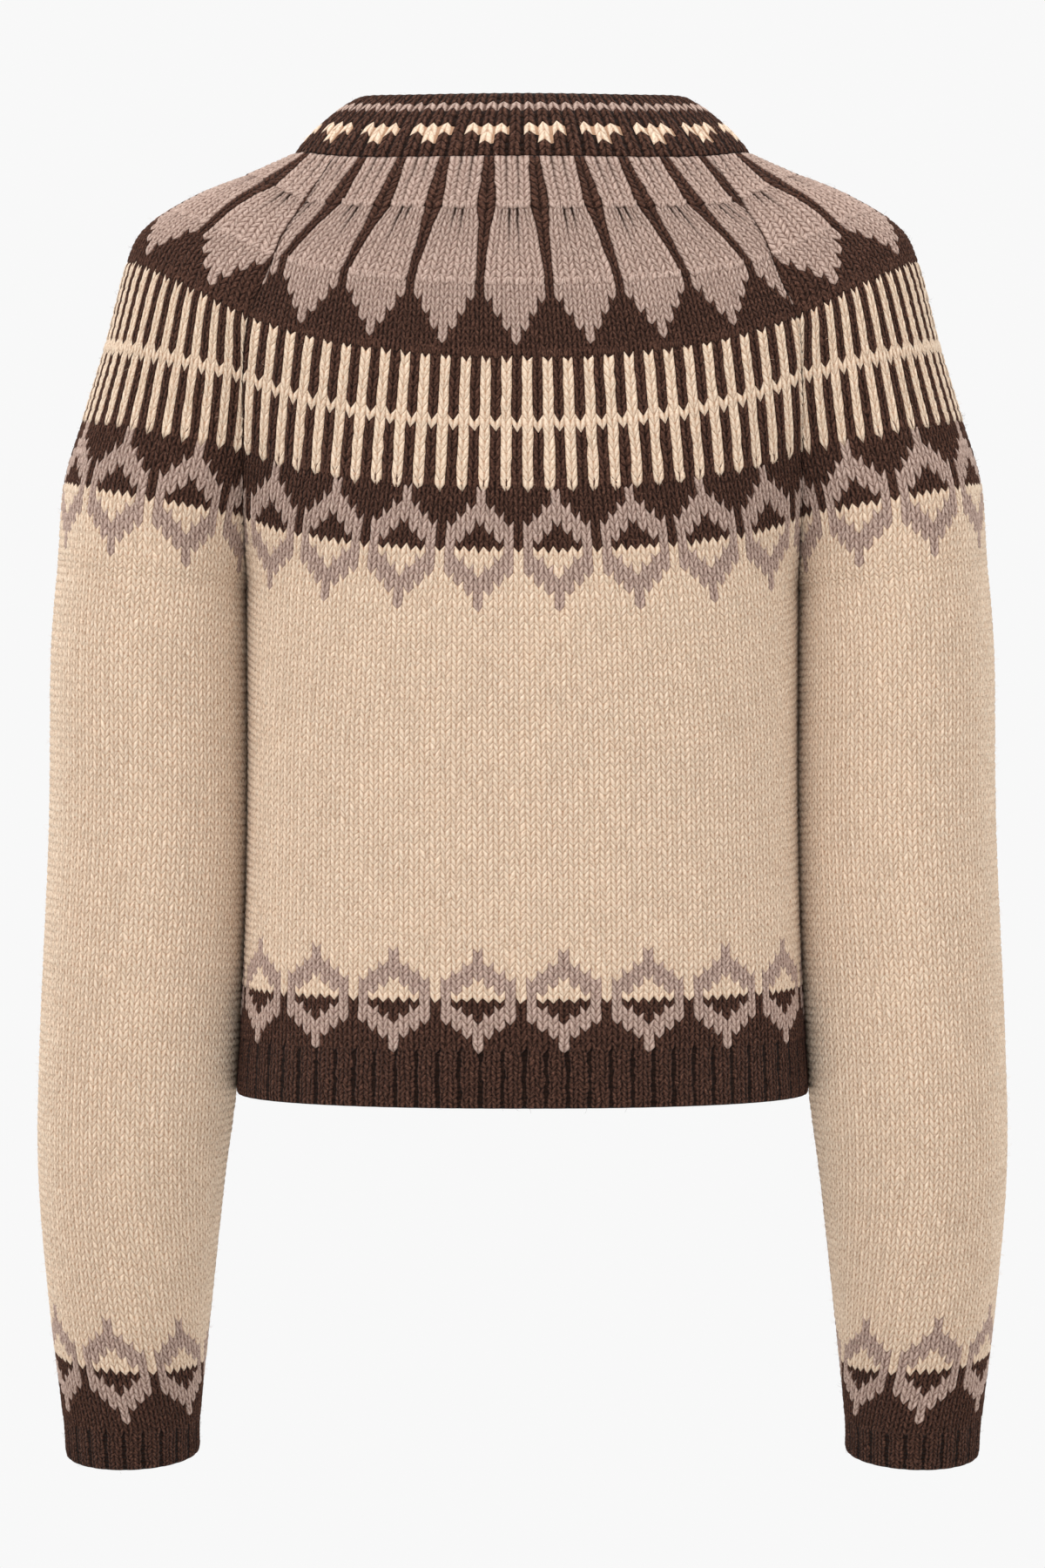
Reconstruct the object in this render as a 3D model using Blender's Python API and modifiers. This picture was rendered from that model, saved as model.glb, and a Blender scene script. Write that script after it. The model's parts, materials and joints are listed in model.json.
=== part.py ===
"""Nordic cardigan, in its worn shape and empty.

A cropped raglan cardigan in heavy wool: back, two fronts, two sleeves that reach the neck, ribbed neckband,
hem, cuffs and button bands, and seven buttons. Metres, +Z up. The wearer faces +Y, their left is -X.
The origin is at the middle of the neck, level with the foot of the neckband at the back.

Every cloth piece is a wall: an outer grid of points worked out from the sections below, and an inner grid
WALL deeper. The yoke is measured at ten stations, counted down from the neckband (0) to the underarm (9),
which the body and the sleeves share along the raglan seams.
"""

import math

import bpy
import numpy as np

WALL = 0.003            # thickness of the knitted cloth
SEAM = 0.0004           # gap between two pieces along a seam
RIB_RISE = 0.0011       # how far a knit wale stands over the purl column beside it
HEM_RIB_TOP_Z = -0.4640
HEM_Z = -0.4945
HEM_REPEAT = 0.0110     # one knit wale and one purl column of the hem rib
CUFF_REPEAT = 0.0101
NECK_REPEAT = 0.0071
BAND_REPEAT = 0.0080
BAND_HALF = 0.016       # half the width of a button band
BAND_STEP = 0.0034      # the over band lies this far outside the under band
BAND_SAG = 0.0007       # how far a band's edges curve back, as the front does
NECK_BULGE = 0.0020     # how far the neckband's middle stands out from a straight slope
NECK_START = 0.022      # share of the neckband's height left open as its seam with the panels
NECK_REACH = 2.5        # yoke station at which the panels have left the shape of the neckband's foot
BUTTON_COUNT = 7
BUTTON_RADIUS = 0.009
BUTTON_THICK = 0.0036
BUTTON_FIRST = 0.020    # from the top of the neckband to the first button's middle
BUTTON_LAST = 0.016     # from the last button's middle to the hem

# Levels of the body and the sleeves: 0 to UNDERARM are the yoke's stations, and the others follow below.
UNDERARM = 9
BODY_END = 10           # the body panels meet the hem rib
HEM = 11
CUFF_TOP = 15
CUFF_END = 16

# Grid sizes of the panels.
YOKE_ROWS = 13
BODY_ROWS = 6
BACK_COLUMNS = 25
FRONT_COLUMNS = 12
SLEEVE_COLUMNS = 25
BAND_ROWS = 26
NECK_ROWS = 5           # rows of a band beside the neckband
FINE = 2000             # points of a line that is measured

# Foot and top of the neckband, as rings round the neck.
NECK_FOOT = {"half_width": 0.1225, "half_depth": 0.0765, "y": 0.0015, "z": 0.0, "side_rise": 0.011, "drop": 0.062}
NECK_TOP = {"half_width": 0.0900, "half_depth": 0.0525, "y": 0.0025, "z": 0.0350, "side_rise": 0.005, "drop": 0.064}

# The yoke at each station: height in the middle of the back and of the fronts, the raglan seam's x and its
# height behind and in front, the sleeve's crest, and the sleeve arc's half angle (degrees) and half depth.
YOKE_COLUMNS = (
    "back_z", "front_z", "seam_x", "seam_back_z", "seam_front_z", "crest_x", "crest_z", "sleeve_angle", "sleeve_depth"
)
YOKE = (
    (0.0000, -0.0620, 0.0995, 0.0042, -0.0252, 0.1225, 0.0033, 36, 0.0760),     # neckband
    (-0.0266, -0.0760, 0.1133, -0.0205, -0.0440, 0.1466, -0.0066, 46, 0.0770),
    (-0.0528, -0.0910, 0.1244, -0.0392, -0.0570, 0.1732, -0.0170, 56, 0.0762),
    (-0.0787, -0.1070, 0.1337, -0.0623, -0.0750, 0.1992, -0.0327, 67, 0.0740),
    (-0.1045, -0.1240, 0.1427, -0.0824, -0.0910, 0.2099, -0.0504, 82, 0.0710),  # feathers' tips
    (-0.1383, -0.1500, 0.1460, -0.1123, -0.1175, 0.2216, -0.0946, 101, 0.0690),
    (-0.1720, -0.1780, 0.1464, -0.1512, -0.1530, 0.2338, -0.1342, 120, 0.0672),  # foot of the stripes
    (-0.2034, -0.2060, 0.1470, -0.1858, -0.1858, 0.2439, -0.1681, 141, 0.0660),
    (-0.2344, -0.2344, 0.1467, -0.2156, -0.2156, 0.2467, -0.2017, 165, 0.0655),  # foot of the leaf band
    (-0.2457, -0.2457, 0.1465, -0.2255, -0.2255, 0.2474, -0.2124, 180, 0.0650),  # underarm
)

# The body's rings: height, depth behind and in front of the middle, and roundness (2 is an ellipse).
BODY_COLUMNS = ("z", "back", "front", "power")
BODY = (
    (-0.4945, 0.0985, 0.1040, 2.25),
    (-0.4640, 0.0995, 0.1050, 2.25),
    (-0.4100, 0.1005, 0.1070, 2.25),
    (-0.3300, 0.1030, 0.1100, 2.25),
    (-0.2457, 0.1062, 0.1130, 2.25),
    (-0.1720, 0.1062, 0.1090, 2.25),
    (-0.1045, 0.1020, 0.0960, 2.20),
    (-0.0620, 0.0955, 0.0800, 2.10),
    (-0.0266, 0.0860, 0.0760, 2.05),
    (0.0000, 0.0750, 0.0750, 2.00),
    (0.0100, 0.0720, 0.0740, 2.00),
)

# Half width of the body below the underarm, by height.
WAIST_COLUMNS = ("z", "half_width")
WAIST = (
    (-0.4945, 0.1532),
    (-0.4640, 0.1512),
    (-0.4100, 0.1482),
    (-0.3300, 0.1466),
    (-0.2457, 0.1466),
    (-0.2255, 0.1466),
)

# The sleeve's rings below the underarm: outer edge, inner edge, y of the middle, half depth, lean in degrees.
ARM_COLUMNS = ("station", "outer_x", "outer_z", "inner_x", "inner_z", "y", "depth", "tilt")
ARM = (
    (9, 0.2474, -0.2124, 0.1471, -0.2255, 0.000, 0.0650, 0.0),
    (9.4, 0.2497, -0.2365, 0.1486, -0.2500, 0.000, 0.0640, 0.0),
    (10, 0.2514, -0.2645, 0.1492, -0.2761, 0.000, 0.0625, 0.0),
    (11, 0.2528, -0.3530, 0.1500, -0.3610, 0.002, 0.0600, 0.0),
    (12, 0.2583, -0.4693, 0.1548, -0.4765, 0.004, 0.0580, 1.0),
    (13, 0.2596, -0.5398, 0.1610, -0.5460, 0.009, 0.0550, 3.0),
    (14, 0.2545, -0.6120, 0.1690, -0.6180, 0.017, 0.0490, 5.5),
    (15, 0.2487, -0.6700, 0.1745, -0.6720, 0.024, 0.0405, 7.0),
    (16, 0.2474, -0.6936, 0.1750, -0.6918, 0.027, 0.0380, 7.0),
)
ARM_ROWS = (9.3, 9.7, 10.2, 10.7, 11.3, 12, 12.6, 13.2, 13.8, 14.4, 15)     # stations of the sleeve's grid rows


def smooth(table_x, table_y, x):
    """A curve through a table's rows: cubic between two rows, with each row's slope taken from its neighbours."""
    table_x = np.asarray(table_x, float)
    table_y = np.asarray(table_y, float)
    x = np.clip(np.asarray(x, float), table_x[0], table_x[-1])
    slope = np.gradient(table_y, table_x)
    i = np.clip(np.searchsorted(table_x, x, side="right") - 1, 0, len(table_x) - 2)
    width = table_x[i + 1] - table_x[i]
    t = (x - table_x[i]) / width
    start = table_y[i] * (1 + 2 * t) * (1 - t) ** 2 + slope[i] * width * t * (1 - t) ** 2
    end = table_y[i + 1] * t * t * (3 - 2 * t) - slope[i + 1] * width * t * t * (1 - t)
    return start + end


def column_of(table, names, column, x):
    """A column of a table as a smooth function of the table's first column."""
    return smooth([row[0] for row in table], [row[names.index(column)] for row in table], x)


def yoke(column, station):
    return smooth(range(len(YOKE)), [row[YOKE_COLUMNS.index(column)] for row in YOKE], station)


def body(column, z):
    return column_of(BODY, BODY_COLUMNS, column, z)


def arm(column, station):
    return column_of(ARM, ARM_COLUMNS, column, station)


def neck_ring(ring, angle):
    """A ring round the neck; angle 0 is the middle of the back, +-pi the middle of the front."""
    front = (1 - np.cos(angle)) / 2
    return np.stack(
        [
            ring["half_width"] * np.sin(angle),
            ring["y"] - ring["half_depth"] * np.cos(angle),
            ring["z"] + ring["side_rise"] * np.sin(angle) ** 6 - ring["drop"] * front**3,
        ],
        axis=-1,
    )


def near_neck(level):
    """1 at the neckband, easing to 0 at NECK_REACH."""
    fade = np.clip(1 - level / NECK_REACH, 0, 1)
    return (fade * fade * (3 - 2 * fade))[..., None]


def seam_y(station):
    """Half the distance between the back and front raglan seams at a yoke station."""
    angle = np.radians(yoke("sleeve_angle", station))
    return np.maximum(yoke("sleeve_depth", station) * np.sin(angle), SEAM / 2)


def body_half_width(z, side):
    """Half width of the body's ring at height z. Over the underarm it is the ring that passes through the seam."""
    stations = np.linspace(0, UNDERARM, 10 * UNDERARM + 1)
    seam_z = yoke("seam_" + side + "_z", stations)
    power = body("power", seam_z)
    share = np.clip(seam_y(stations) / body(side, seam_z), 0, 0.999)
    through = yoke("seam_x", stations) / (1 - share**power) ** (1 / power)
    below_arm = column_of(WAIST, WAIST_COLUMNS, "half_width", z)
    return np.where(z <= seam_z[-1], below_arm, np.interp(-z, -seam_z, through))


def body_row_z(side, level):
    """Heights of a body row in the middle and at its edge."""
    in_yoke = np.minimum(level, UNDERARM)
    below = np.clip(level - UNDERARM, 0, 1)
    rib = np.clip(level - BODY_END, 0, 1)
    middle = yoke(side + "_z", in_yoke)
    edge = yoke("seam_" + side + "_z", in_yoke)
    middle = middle + (HEM_RIB_TOP_Z - middle) * below
    edge = edge + (HEM_RIB_TOP_Z - edge) * below
    return middle + (HEM_Z - HEM_RIB_TOP_Z) * rib, edge + (HEM_Z - HEM_RIB_TOP_Z) * rib


def body_ring(side, level, across):
    """A point on the body's rings: each height has a ring |x/a|^n + |y/b|^n = 1, and a row of the cloth rises
    from its middle to its edges. across runs from -1 to 1 between the two seams of that side."""
    middle, edge = body_row_z(side, level)
    z = middle + (edge - middle) * across**2
    edge_y = np.where(level < UNDERARM, seam_y(np.minimum(level, UNDERARM)), SEAM / 2)
    edge_angle = np.arccos(np.clip(edge_y / body(side, edge), 0, 1) ** (body("power", edge) / 2))
    angle = across * edge_angle
    power = body("power", z)
    x = body_half_width(z, side) * np.sign(angle) * np.abs(np.sin(angle)) ** (2 / power)
    y = body(side, z) * np.abs(np.cos(angle)) ** (2 / power)
    return np.stack([x, -y if side == "back" else y, z], axis=-1)


def body_point(side, level, across):
    """A point of the body's outer surface: on its rings, and drawn on to the neckband's foot near the neck."""
    level, across = np.broadcast_arrays(np.asarray(level, float), np.asarray(across, float))
    limit = math.pi / 2 - math.radians(yoke("sleeve_angle", 0))
    round_neck = across * limit if side == "back" else math.pi - across * limit
    at_neck = neck_ring(NECK_FOOT, round_neck) - body_ring(side, 0 * level, across)
    return body_ring(side, level, across) + at_neck * near_neck(level)


def sleeve_arc(station, around, gap):
    """A yoke row of the right sleeve: an arc through the back seam B, the crest T and the front seam F,
    M + (T - M)(cos t - cos m)/(1 - cos m) + (B - F)/2 sin t / sin m, with M midway between B and F.

    The seams stand the gap away from those of the body.
    """
    limit = np.radians(np.minimum(yoke("sleeve_angle", station), 179.5))
    angle = np.radians(yoke("sleeve_angle", station)) * around
    rise = ((np.cos(angle) - np.cos(limit)) / (1 - np.cos(limit)))[..., None]
    zero = 0 * station
    crest = np.stack([yoke("crest_x", station), zero, yoke("crest_z", station)], axis=-1)
    back_z = yoke("seam_back_z", station)
    front_z = yoke("seam_front_z", station)
    middle = np.stack([yoke("seam_x", station) + gap, zero, (back_z + front_z) / 2], axis=-1)
    depth = yoke("sleeve_depth", station) * np.sin(angle)
    seam_rise = (back_z - front_z) / 2 * np.sin(angle) / np.sin(limit)
    return middle + (crest - middle) * rise + np.stack([zero, -depth, seam_rise], axis=-1)


def sleeve_ring(station, around):
    """A ring of the right sleeve below the underarm: an ellipse between its outer and inner edge."""
    y = arm("y", station)
    outer = np.stack([arm("outer_x", station), y, arm("outer_z", station)], axis=-1)
    inner = np.stack([arm("inner_x", station), y, arm("inner_z", station)], axis=-1)
    lean = np.radians(arm("tilt", station))
    back = np.stack([0 * lean, -np.cos(lean), -np.sin(lean)], axis=-1) * arm("depth", station)[..., None]
    angle = (math.pi * around)[..., None]
    return (outer + inner) / 2 + (outer - inner) / 2 * np.cos(angle) + back * np.sin(angle)


def sleeve_point(station, around):
    """A point of the right sleeve's outer surface. around runs from 1 at the back seam, over the crest at 0,
    to -1 at the front seam; under the arm the two seams have closed into one line."""
    station, around = np.broadcast_arrays(np.asarray(station, float), np.asarray(around, float))
    in_yoke = np.minimum(station, UNDERARM)
    round_neck = math.pi / 2 - np.radians(yoke("sleeve_angle", 0)) * around
    at_neck = neck_ring(NECK_FOOT, round_neck) - sleeve_arc(0 * station, around, 0)
    upper = sleeve_arc(in_yoke, around, 1.5 * SEAM) + at_neck * near_neck(station)
    lower = sleeve_ring(np.maximum(station, UNDERARM), around)
    return np.where((station < UNDERARM)[..., None], upper, lower)


def neckband_point(up, angle):
    """A point of the neckband's outer surface: up runs from 0 at its foot to 1 at its top edge, bulging between."""
    foot = neck_ring(NECK_FOOT, angle)
    top = neck_ring(NECK_TOP, angle)
    out = np.stack([np.sin(angle), -np.cos(angle), 0.6 + 0 * angle], axis=-1)
    up = np.asarray(up)[..., None]
    return foot + (top - foot) * up + out * NECK_BULGE * 4 * up * (1 - up)


def mirrored(grid):
    """The same grid on the other side of the body, with its columns turned round so that it still faces out."""
    return (grid * np.array([-1, 1, 1]))[:, ::-1]


def normals(grid, closed_from=None):
    """Unit normals of a grid of points. Rows from closed_from on are rings whose first and last points agree."""
    down = np.gradient(grid, axis=0)
    along = np.gradient(grid, axis=1)
    if closed_from is not None:
        ring = grid[closed_from:]
        along[closed_from:, 0] = along[closed_from:, -1] = (ring[:, 1] - ring[:, -2]) / 2
    n = np.cross(along, down)
    return n / np.linalg.norm(n, axis=-1, keepdims=True)


def squared(n, rows, columns):
    """Normals whose given columns, those of a side seam, point straight out to the side in the given rows."""
    for column in columns:
        n[rows, column, 1] = 0
    return n / np.linalg.norm(n, axis=-1, keepdims=True)


def wall(name, outer, inner, wool, closed_from=None):
    """A closed wall between two grids of the same shape. Seen from outside, rows run down and columns to the left.

    Rows from closed_from on are rings: their last column is their first one.
    """
    rows, columns = outer.shape[:2]
    closed_from = rows if closed_from is None else closed_from
    count = rows * columns
    index = np.arange(count).reshape(rows, columns)
    index[closed_from:, -1] = index[closed_from:, 0]
    faces = []
    for r in range(rows - 1):
        for c in range(columns - 1):
            a, b, d, e = index[r, c], index[r, c + 1], index[r + 1, c], index[r + 1, c + 1]
            faces.append((a, b, e, d))
            faces.append((a + count, d + count, e + count, b + count))
        if r < closed_from:
            a, d = index[r, 0], index[r + 1, 0]
            faces.append((a, d, d + count, a + count))
            a, d = index[r, -1], index[r + 1, -1]
            faces.append((a, a + count, d + count, d))
    for c in range(columns - 1):
        a, b = index[0, c], index[0, c + 1]
        faces.append((a, a + count, b + count, b))
        a, b = index[-1, c], index[-1, c + 1]
        faces.append((a, b, b + count, a + count))
    used = sorted({i for face in faces for i in face})
    place = {old: new for new, old in enumerate(used)}
    points = np.concatenate([outer.reshape(-1, 3), inner.reshape(-1, 3)])[used]
    mesh = bpy.data.meshes.new(name)
    mesh.from_pydata(points.tolist(), [], [tuple(place[i] for i in face) for face in faces])
    mesh.materials.append(wool)
    mesh.update()
    parts.objects.link(bpy.data.objects.new(name, mesh))


def cloth(name, grid, wool, closed_from=None, side_rows=slice(0), side_columns=()):
    """A wall of plain cloth: the grid, and the same grid moved in along its normals."""
    n = squared(normals(grid, closed_from), side_rows, side_columns)
    wall(name, grid, grid - WALL * n, wool, closed_from)


def ribbed(name, base, closed=False, side_columns=()):
    """A wall of 1x1 rib on a base grid whose columns alternate between a knit wale and a purl column.

    Only the outer points are raised; the inner face is plain.
    """
    closed_from = 0 if closed else None
    n = squared(normals(base, closed_from), slice(None), side_columns)
    sunk = np.where(np.arange(base.shape[1]) % 2 == 0, 0, RIB_RISE)[None, :, None]
    wall(name, base - n * sunk, base - WALL * n, brown_wool, closed_from)


def lengths(points):
    """The distance along a line of points from its first point to each."""
    return np.concatenate([[0], np.cumsum(np.linalg.norm(np.diff(points, axis=0), axis=1))])


def rib_places(curve, start, end, repeat):
    """Parameters of a rib's columns along curve(parameter), evenly spaced, with a wale at both ends."""
    fine = np.linspace(start, end, FINE)
    length = lengths(curve(fine))
    columns = 2 * round(length[-1] / repeat) + 1
    return np.interp(np.linspace(0, length[-1], columns), length, fine)


def finish(name, color, roughness):
    made = bpy.data.materials.new(name)
    made.use_nodes = True
    shader = made.node_tree.nodes["Principled BSDF"]
    shader.inputs["Base Color"].default_value = (*color, 1)
    shader.inputs["Roughness"].default_value = roughness
    shader.inputs["Metallic"].default_value = 0
    return made


for old in list(bpy.data.objects):
    bpy.data.objects.remove(old)
parts = bpy.data.collections.new("nordic_cardigan")
bpy.context.scene.collection.children.link(parts)

patterned_wool = finish("patterned_wool", (0.78, 0.64, 0.47), 0.9)
brown_wool = finish("brown_wool", (0.055, 0.026, 0.018), 0.92)
horn_button = finish("horn_button", (0.06, 0.03, 0.02), 0.45)

# Body panels: rows close together in the yoke, where they curve most. The rib starts a seam's gap under them.
yoke_levels = np.linspace(0, UNDERARM, YOKE_ROWS)
panel_levels = np.concatenate([yoke_levels, np.linspace(UNDERARM, BODY_END, BODY_ROWS + 1)[1:]])
under_arm = slice(YOKE_ROWS - 1, None)
rib_start = BODY_END + SEAM / (HEM_RIB_TOP_Z - HEM_Z)
rib_levels = [rib_start, (BODY_END + HEM) / 2, HEM]

# Back panel and its hem rib.
level, across = np.meshgrid(panel_levels, np.linspace(1, -1, BACK_COLUMNS), indexing="ij")
cloth("back", body_point("back", level, across), patterned_wool, side_rows=under_arm, side_columns=(0, -1))
places = rib_places(lambda t: body_point("back", HEM, t), 1, -1, HEM_REPEAT)
level, across = np.meshgrid(rib_levels, places, indexing="ij")
ribbed("hem_rib_back", body_point("back", level, across), side_columns=(0, -1))


def front_grid(levels, columns, toward):
    """A front's points, from the middle opening out to its side; toward is the sign of x."""
    rows = []
    for one in levels:
        fine = np.linspace(0, 1, FINE)
        start = np.interp(BAND_HALF + SEAM, body_point("front", one, fine)[:, 0], fine)
        rows.append(body_point("front", one, toward * np.linspace(start, 1, columns)))
    grid = np.array(rows)
    return grid if toward > 0 else grid[:, ::-1]


# Fronts and their hem ribs. side_column is the grid column at the side seam.
for wearer_side, toward, side_column in (("left", -1, 0), ("right", 1, -1)):
    panel = front_grid(panel_levels, FRONT_COLUMNS, toward)
    cloth("front_" + wearer_side, panel, patterned_wool, side_rows=under_arm, side_columns=(side_column,))
    repeats = round(lengths(front_grid([HEM], FINE, toward)[0])[-1] / HEM_REPEAT)
    ribbed("hem_rib_front_" + wearer_side, front_grid(rib_levels, 2 * repeats + 1, toward),
           side_columns=(side_column,))

# Sleeves: open along the raglan seams down to the underarm, closed rings from there to the cuff.
stations = np.concatenate([yoke_levels, ARM_ROWS])
station, around = np.meshgrid(stations, np.linspace(-1, 1, SLEEVE_COLUMNS), indexing="ij")
sleeve = sleeve_point(station, around)
sleeve[under_arm, -1] = sleeve[under_arm, 0]
cloth("sleeve_right", sleeve, patterned_wool, YOKE_ROWS - 1)
cloth("sleeve_left", mirrored(sleeve), patterned_wool, YOKE_ROWS - 1)

# Cuffs: 1x1 rib in rings, a seam's gap under the sleeves.
cuff_height = arm("outer_z", CUFF_TOP) - arm("outer_z", CUFF_END)
cuff_stations = [CUFF_TOP + SEAM / cuff_height, (CUFF_TOP + CUFF_END) / 2, CUFF_END]
places = rib_places(lambda t: sleeve_point(CUFF_END, t), -1, 1, CUFF_REPEAT)
station, around = np.meshgrid(cuff_stations, places, indexing="ij")
cuff = sleeve_point(station, around)
cuff[:, -1] = cuff[:, 0]
ribbed("cuff_right", cuff, closed=True)
ribbed("cuff_left", mirrored(cuff), closed=True)

# Neckband: 1x1 rib from one front edge round the back to the other, its ends flat against the bands.
half_turn = np.linspace(math.pi / 2, math.pi, FINE)
end_angle = np.interp(-BAND_HALF - SEAM, -neckband_point(0.5, half_turn)[:, 0], half_turn)
places = rib_places(lambda t: neckband_point(0.5, t), end_angle, -end_angle, NECK_REPEAT)
up, angle = np.meshgrid([1, 0.5, NECK_START], places, indexing="ij")
neckband = neckband_point(up, angle)
neckband[:, 0, 0] = BAND_HALF + SEAM
neckband[:, -1, 0] = -BAND_HALF - SEAM
ribbed("neckband", neckband)

# Button bands run down the middle of the front, over the neckband and the fronts to the hem. front_line holds
# (y, z) points, and front_out points straight out of the cloth beside each.
neck_line = neckband_point(np.linspace(1, 0, NECK_ROWS), np.full(NECK_ROWS, math.pi))[:, 1:]
front_z = np.linspace(NECK_FOOT["z"] - NECK_FOOT["drop"], HEM_Z, BAND_ROWS - NECK_ROWS + 1)[1:]
front_line = np.concatenate([neck_line, np.stack([body("front", front_z), front_z], axis=-1)])
slope = np.gradient(front_line, axis=0)
front_out = np.stack([-slope[:, 1], slope[:, 0]], axis=-1) / np.linalg.norm(slope, axis=1, keepdims=True)


def band_grid(middle_offset):
    """A button band's outer grid, tilted so that its seamed edge is flush with its front and its free edge stands
    out. middle_offset is how far its middle lies outside front_line."""
    x = np.linspace(-BAND_HALF, BAND_HALF, 2 * round(2 * BAND_HALF / BAND_REPEAT) + 1)
    offset = middle_offset - BAND_STEP / 2 * x / BAND_HALF - BAND_SAG * (x / BAND_HALF) ** 2
    yz = front_line[:, None, :] + front_out[:, None, :] * offset[None, :, None]
    return np.concatenate([np.broadcast_to(x[None, :, None], yz.shape[:2] + (1,)), yz], axis=-1)


ribbed("button_band_right", band_grid((SEAM + BAND_STEP) / 2))
ribbed("button_band_left", band_grid((SEAM - BAND_STEP) / 2))

# Buttons, evenly spaced on the over band, each lying just clear of the band's tilted face.
length = lengths(front_line)
button_lift = (SEAM + BAND_STEP) / 2 + SEAM + BUTTON_THICK / 2 + BUTTON_RADIUS * BAND_STEP / (2 * BAND_HALF)
for number, down in enumerate(np.linspace(BUTTON_FIRST, length[-1] - BUTTON_LAST, BUTTON_COUNT), start=1):
    y, z = (np.interp(down, length, front_line[:, k]) for k in (0, 1))
    out_y, out_z = (np.interp(down, length, front_out[:, k]) for k in (0, 1))
    bpy.ops.mesh.primitive_cylinder_add(vertices=18, radius=BUTTON_RADIUS, depth=BUTTON_THICK)
    button = bpy.context.object
    button.name = f"button_{number}"
    button.data.materials.append(horn_button)
    rim = button.modifiers.new("rim", "BEVEL")
    rim.width = BUTTON_THICK / 4
    rim.segments = 1
    button.location = (0, y + out_y * button_lift, z + out_z * button_lift)
    button.rotation_euler = (math.atan2(-out_y, out_z), 0, 0)
    for collection in list(button.users_collection):
        collection.objects.unlink(button)
    parts.objects.link(button)
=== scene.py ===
"""The looks of a nordic cardigan: a cropped raglan cardigan in heavy wool, in its worn shape and empty.

Metres, +Z up. The wearer faces +Y, their left is -X, and the origin is at the middle of the neck. Every
cloth piece is laid stitch by stitch on the form of its CAD wall.
"""

import json
import math

import bpy
import numpy as np
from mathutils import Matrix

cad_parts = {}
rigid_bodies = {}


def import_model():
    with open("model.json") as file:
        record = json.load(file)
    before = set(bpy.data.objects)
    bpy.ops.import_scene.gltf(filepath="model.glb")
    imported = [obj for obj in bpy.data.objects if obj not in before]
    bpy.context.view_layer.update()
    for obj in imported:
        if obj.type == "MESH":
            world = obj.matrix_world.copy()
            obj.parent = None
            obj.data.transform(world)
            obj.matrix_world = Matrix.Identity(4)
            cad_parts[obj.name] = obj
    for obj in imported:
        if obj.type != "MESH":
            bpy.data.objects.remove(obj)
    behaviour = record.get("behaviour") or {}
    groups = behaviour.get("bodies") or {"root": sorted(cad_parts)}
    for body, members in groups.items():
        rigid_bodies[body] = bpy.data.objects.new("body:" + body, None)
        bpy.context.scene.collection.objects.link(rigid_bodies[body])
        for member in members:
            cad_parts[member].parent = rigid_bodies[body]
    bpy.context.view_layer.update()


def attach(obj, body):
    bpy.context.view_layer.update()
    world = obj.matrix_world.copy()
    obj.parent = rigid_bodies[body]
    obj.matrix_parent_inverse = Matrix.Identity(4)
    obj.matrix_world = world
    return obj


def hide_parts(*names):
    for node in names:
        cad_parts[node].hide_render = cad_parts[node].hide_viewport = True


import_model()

# ----------------------------------------------------------------------------------------------------------
# Back. One panel of two-colour knitting in heavy wool, knitted upwards from its rib: a band of leaves,
# plain cream, leaves again, stripes, and feathers that run up to the neckband. It narrows along the raglan
# seams.

WALL = 0.003            # the cloth's thickness
UNDERARM = 9            # levels count down from the neckband, 0, past the underarm to the hem
BODY_END = 10
HEM = 11
HEM_RIB_TOP_Z = -0.4640
HEM_Z = -0.4945
NECK_REACH = 2.5        # level at which the panels have left the shape of the neckband's foot
NECK_FOOT = {
    "half_width": 0.1225, "half_depth": 0.0765, "y": 0.0015, "z": 0.0, "side_rise": 0.011, "drop": 0.062
}

# The yoke at each level: height in the middle of the back and of the fronts, the raglan seam's x and its
# height behind and in front, the sleeve's crest, and the sleeve arc's half angle (degrees) and half depth.
YOKE_COLUMNS = (
    "back_z", "front_z", "seam_x", "seam_back_z", "seam_front_z",
    "crest_x", "crest_z", "sleeve_angle", "sleeve_depth",
)
YOKE = (
    (0.0000, -0.0620, 0.0995, 0.0042, -0.0252, 0.1225, 0.0033, 36, 0.0760),
    (-0.0266, -0.0760, 0.1133, -0.0205, -0.0440, 0.1466, -0.0066, 46, 0.0770),
    (-0.0528, -0.0910, 0.1244, -0.0392, -0.0570, 0.1732, -0.0170, 56, 0.0762),
    (-0.0787, -0.1070, 0.1337, -0.0623, -0.0750, 0.1992, -0.0327, 67, 0.0740),
    (-0.1045, -0.1240, 0.1427, -0.0824, -0.0910, 0.2099, -0.0504, 82, 0.0710),
    (-0.1383, -0.1500, 0.1460, -0.1123, -0.1175, 0.2216, -0.0946, 101, 0.0690),
    (-0.1720, -0.1780, 0.1464, -0.1512, -0.1530, 0.2338, -0.1342, 120, 0.0672),
    (-0.2034, -0.2060, 0.1470, -0.1858, -0.1858, 0.2439, -0.1681, 141, 0.0660),
    (-0.2344, -0.2344, 0.1467, -0.2156, -0.2156, 0.2467, -0.2017, 165, 0.0655),
    (-0.2457, -0.2457, 0.1465, -0.2255, -0.2255, 0.2474, -0.2124, 180, 0.0650),
)

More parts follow.
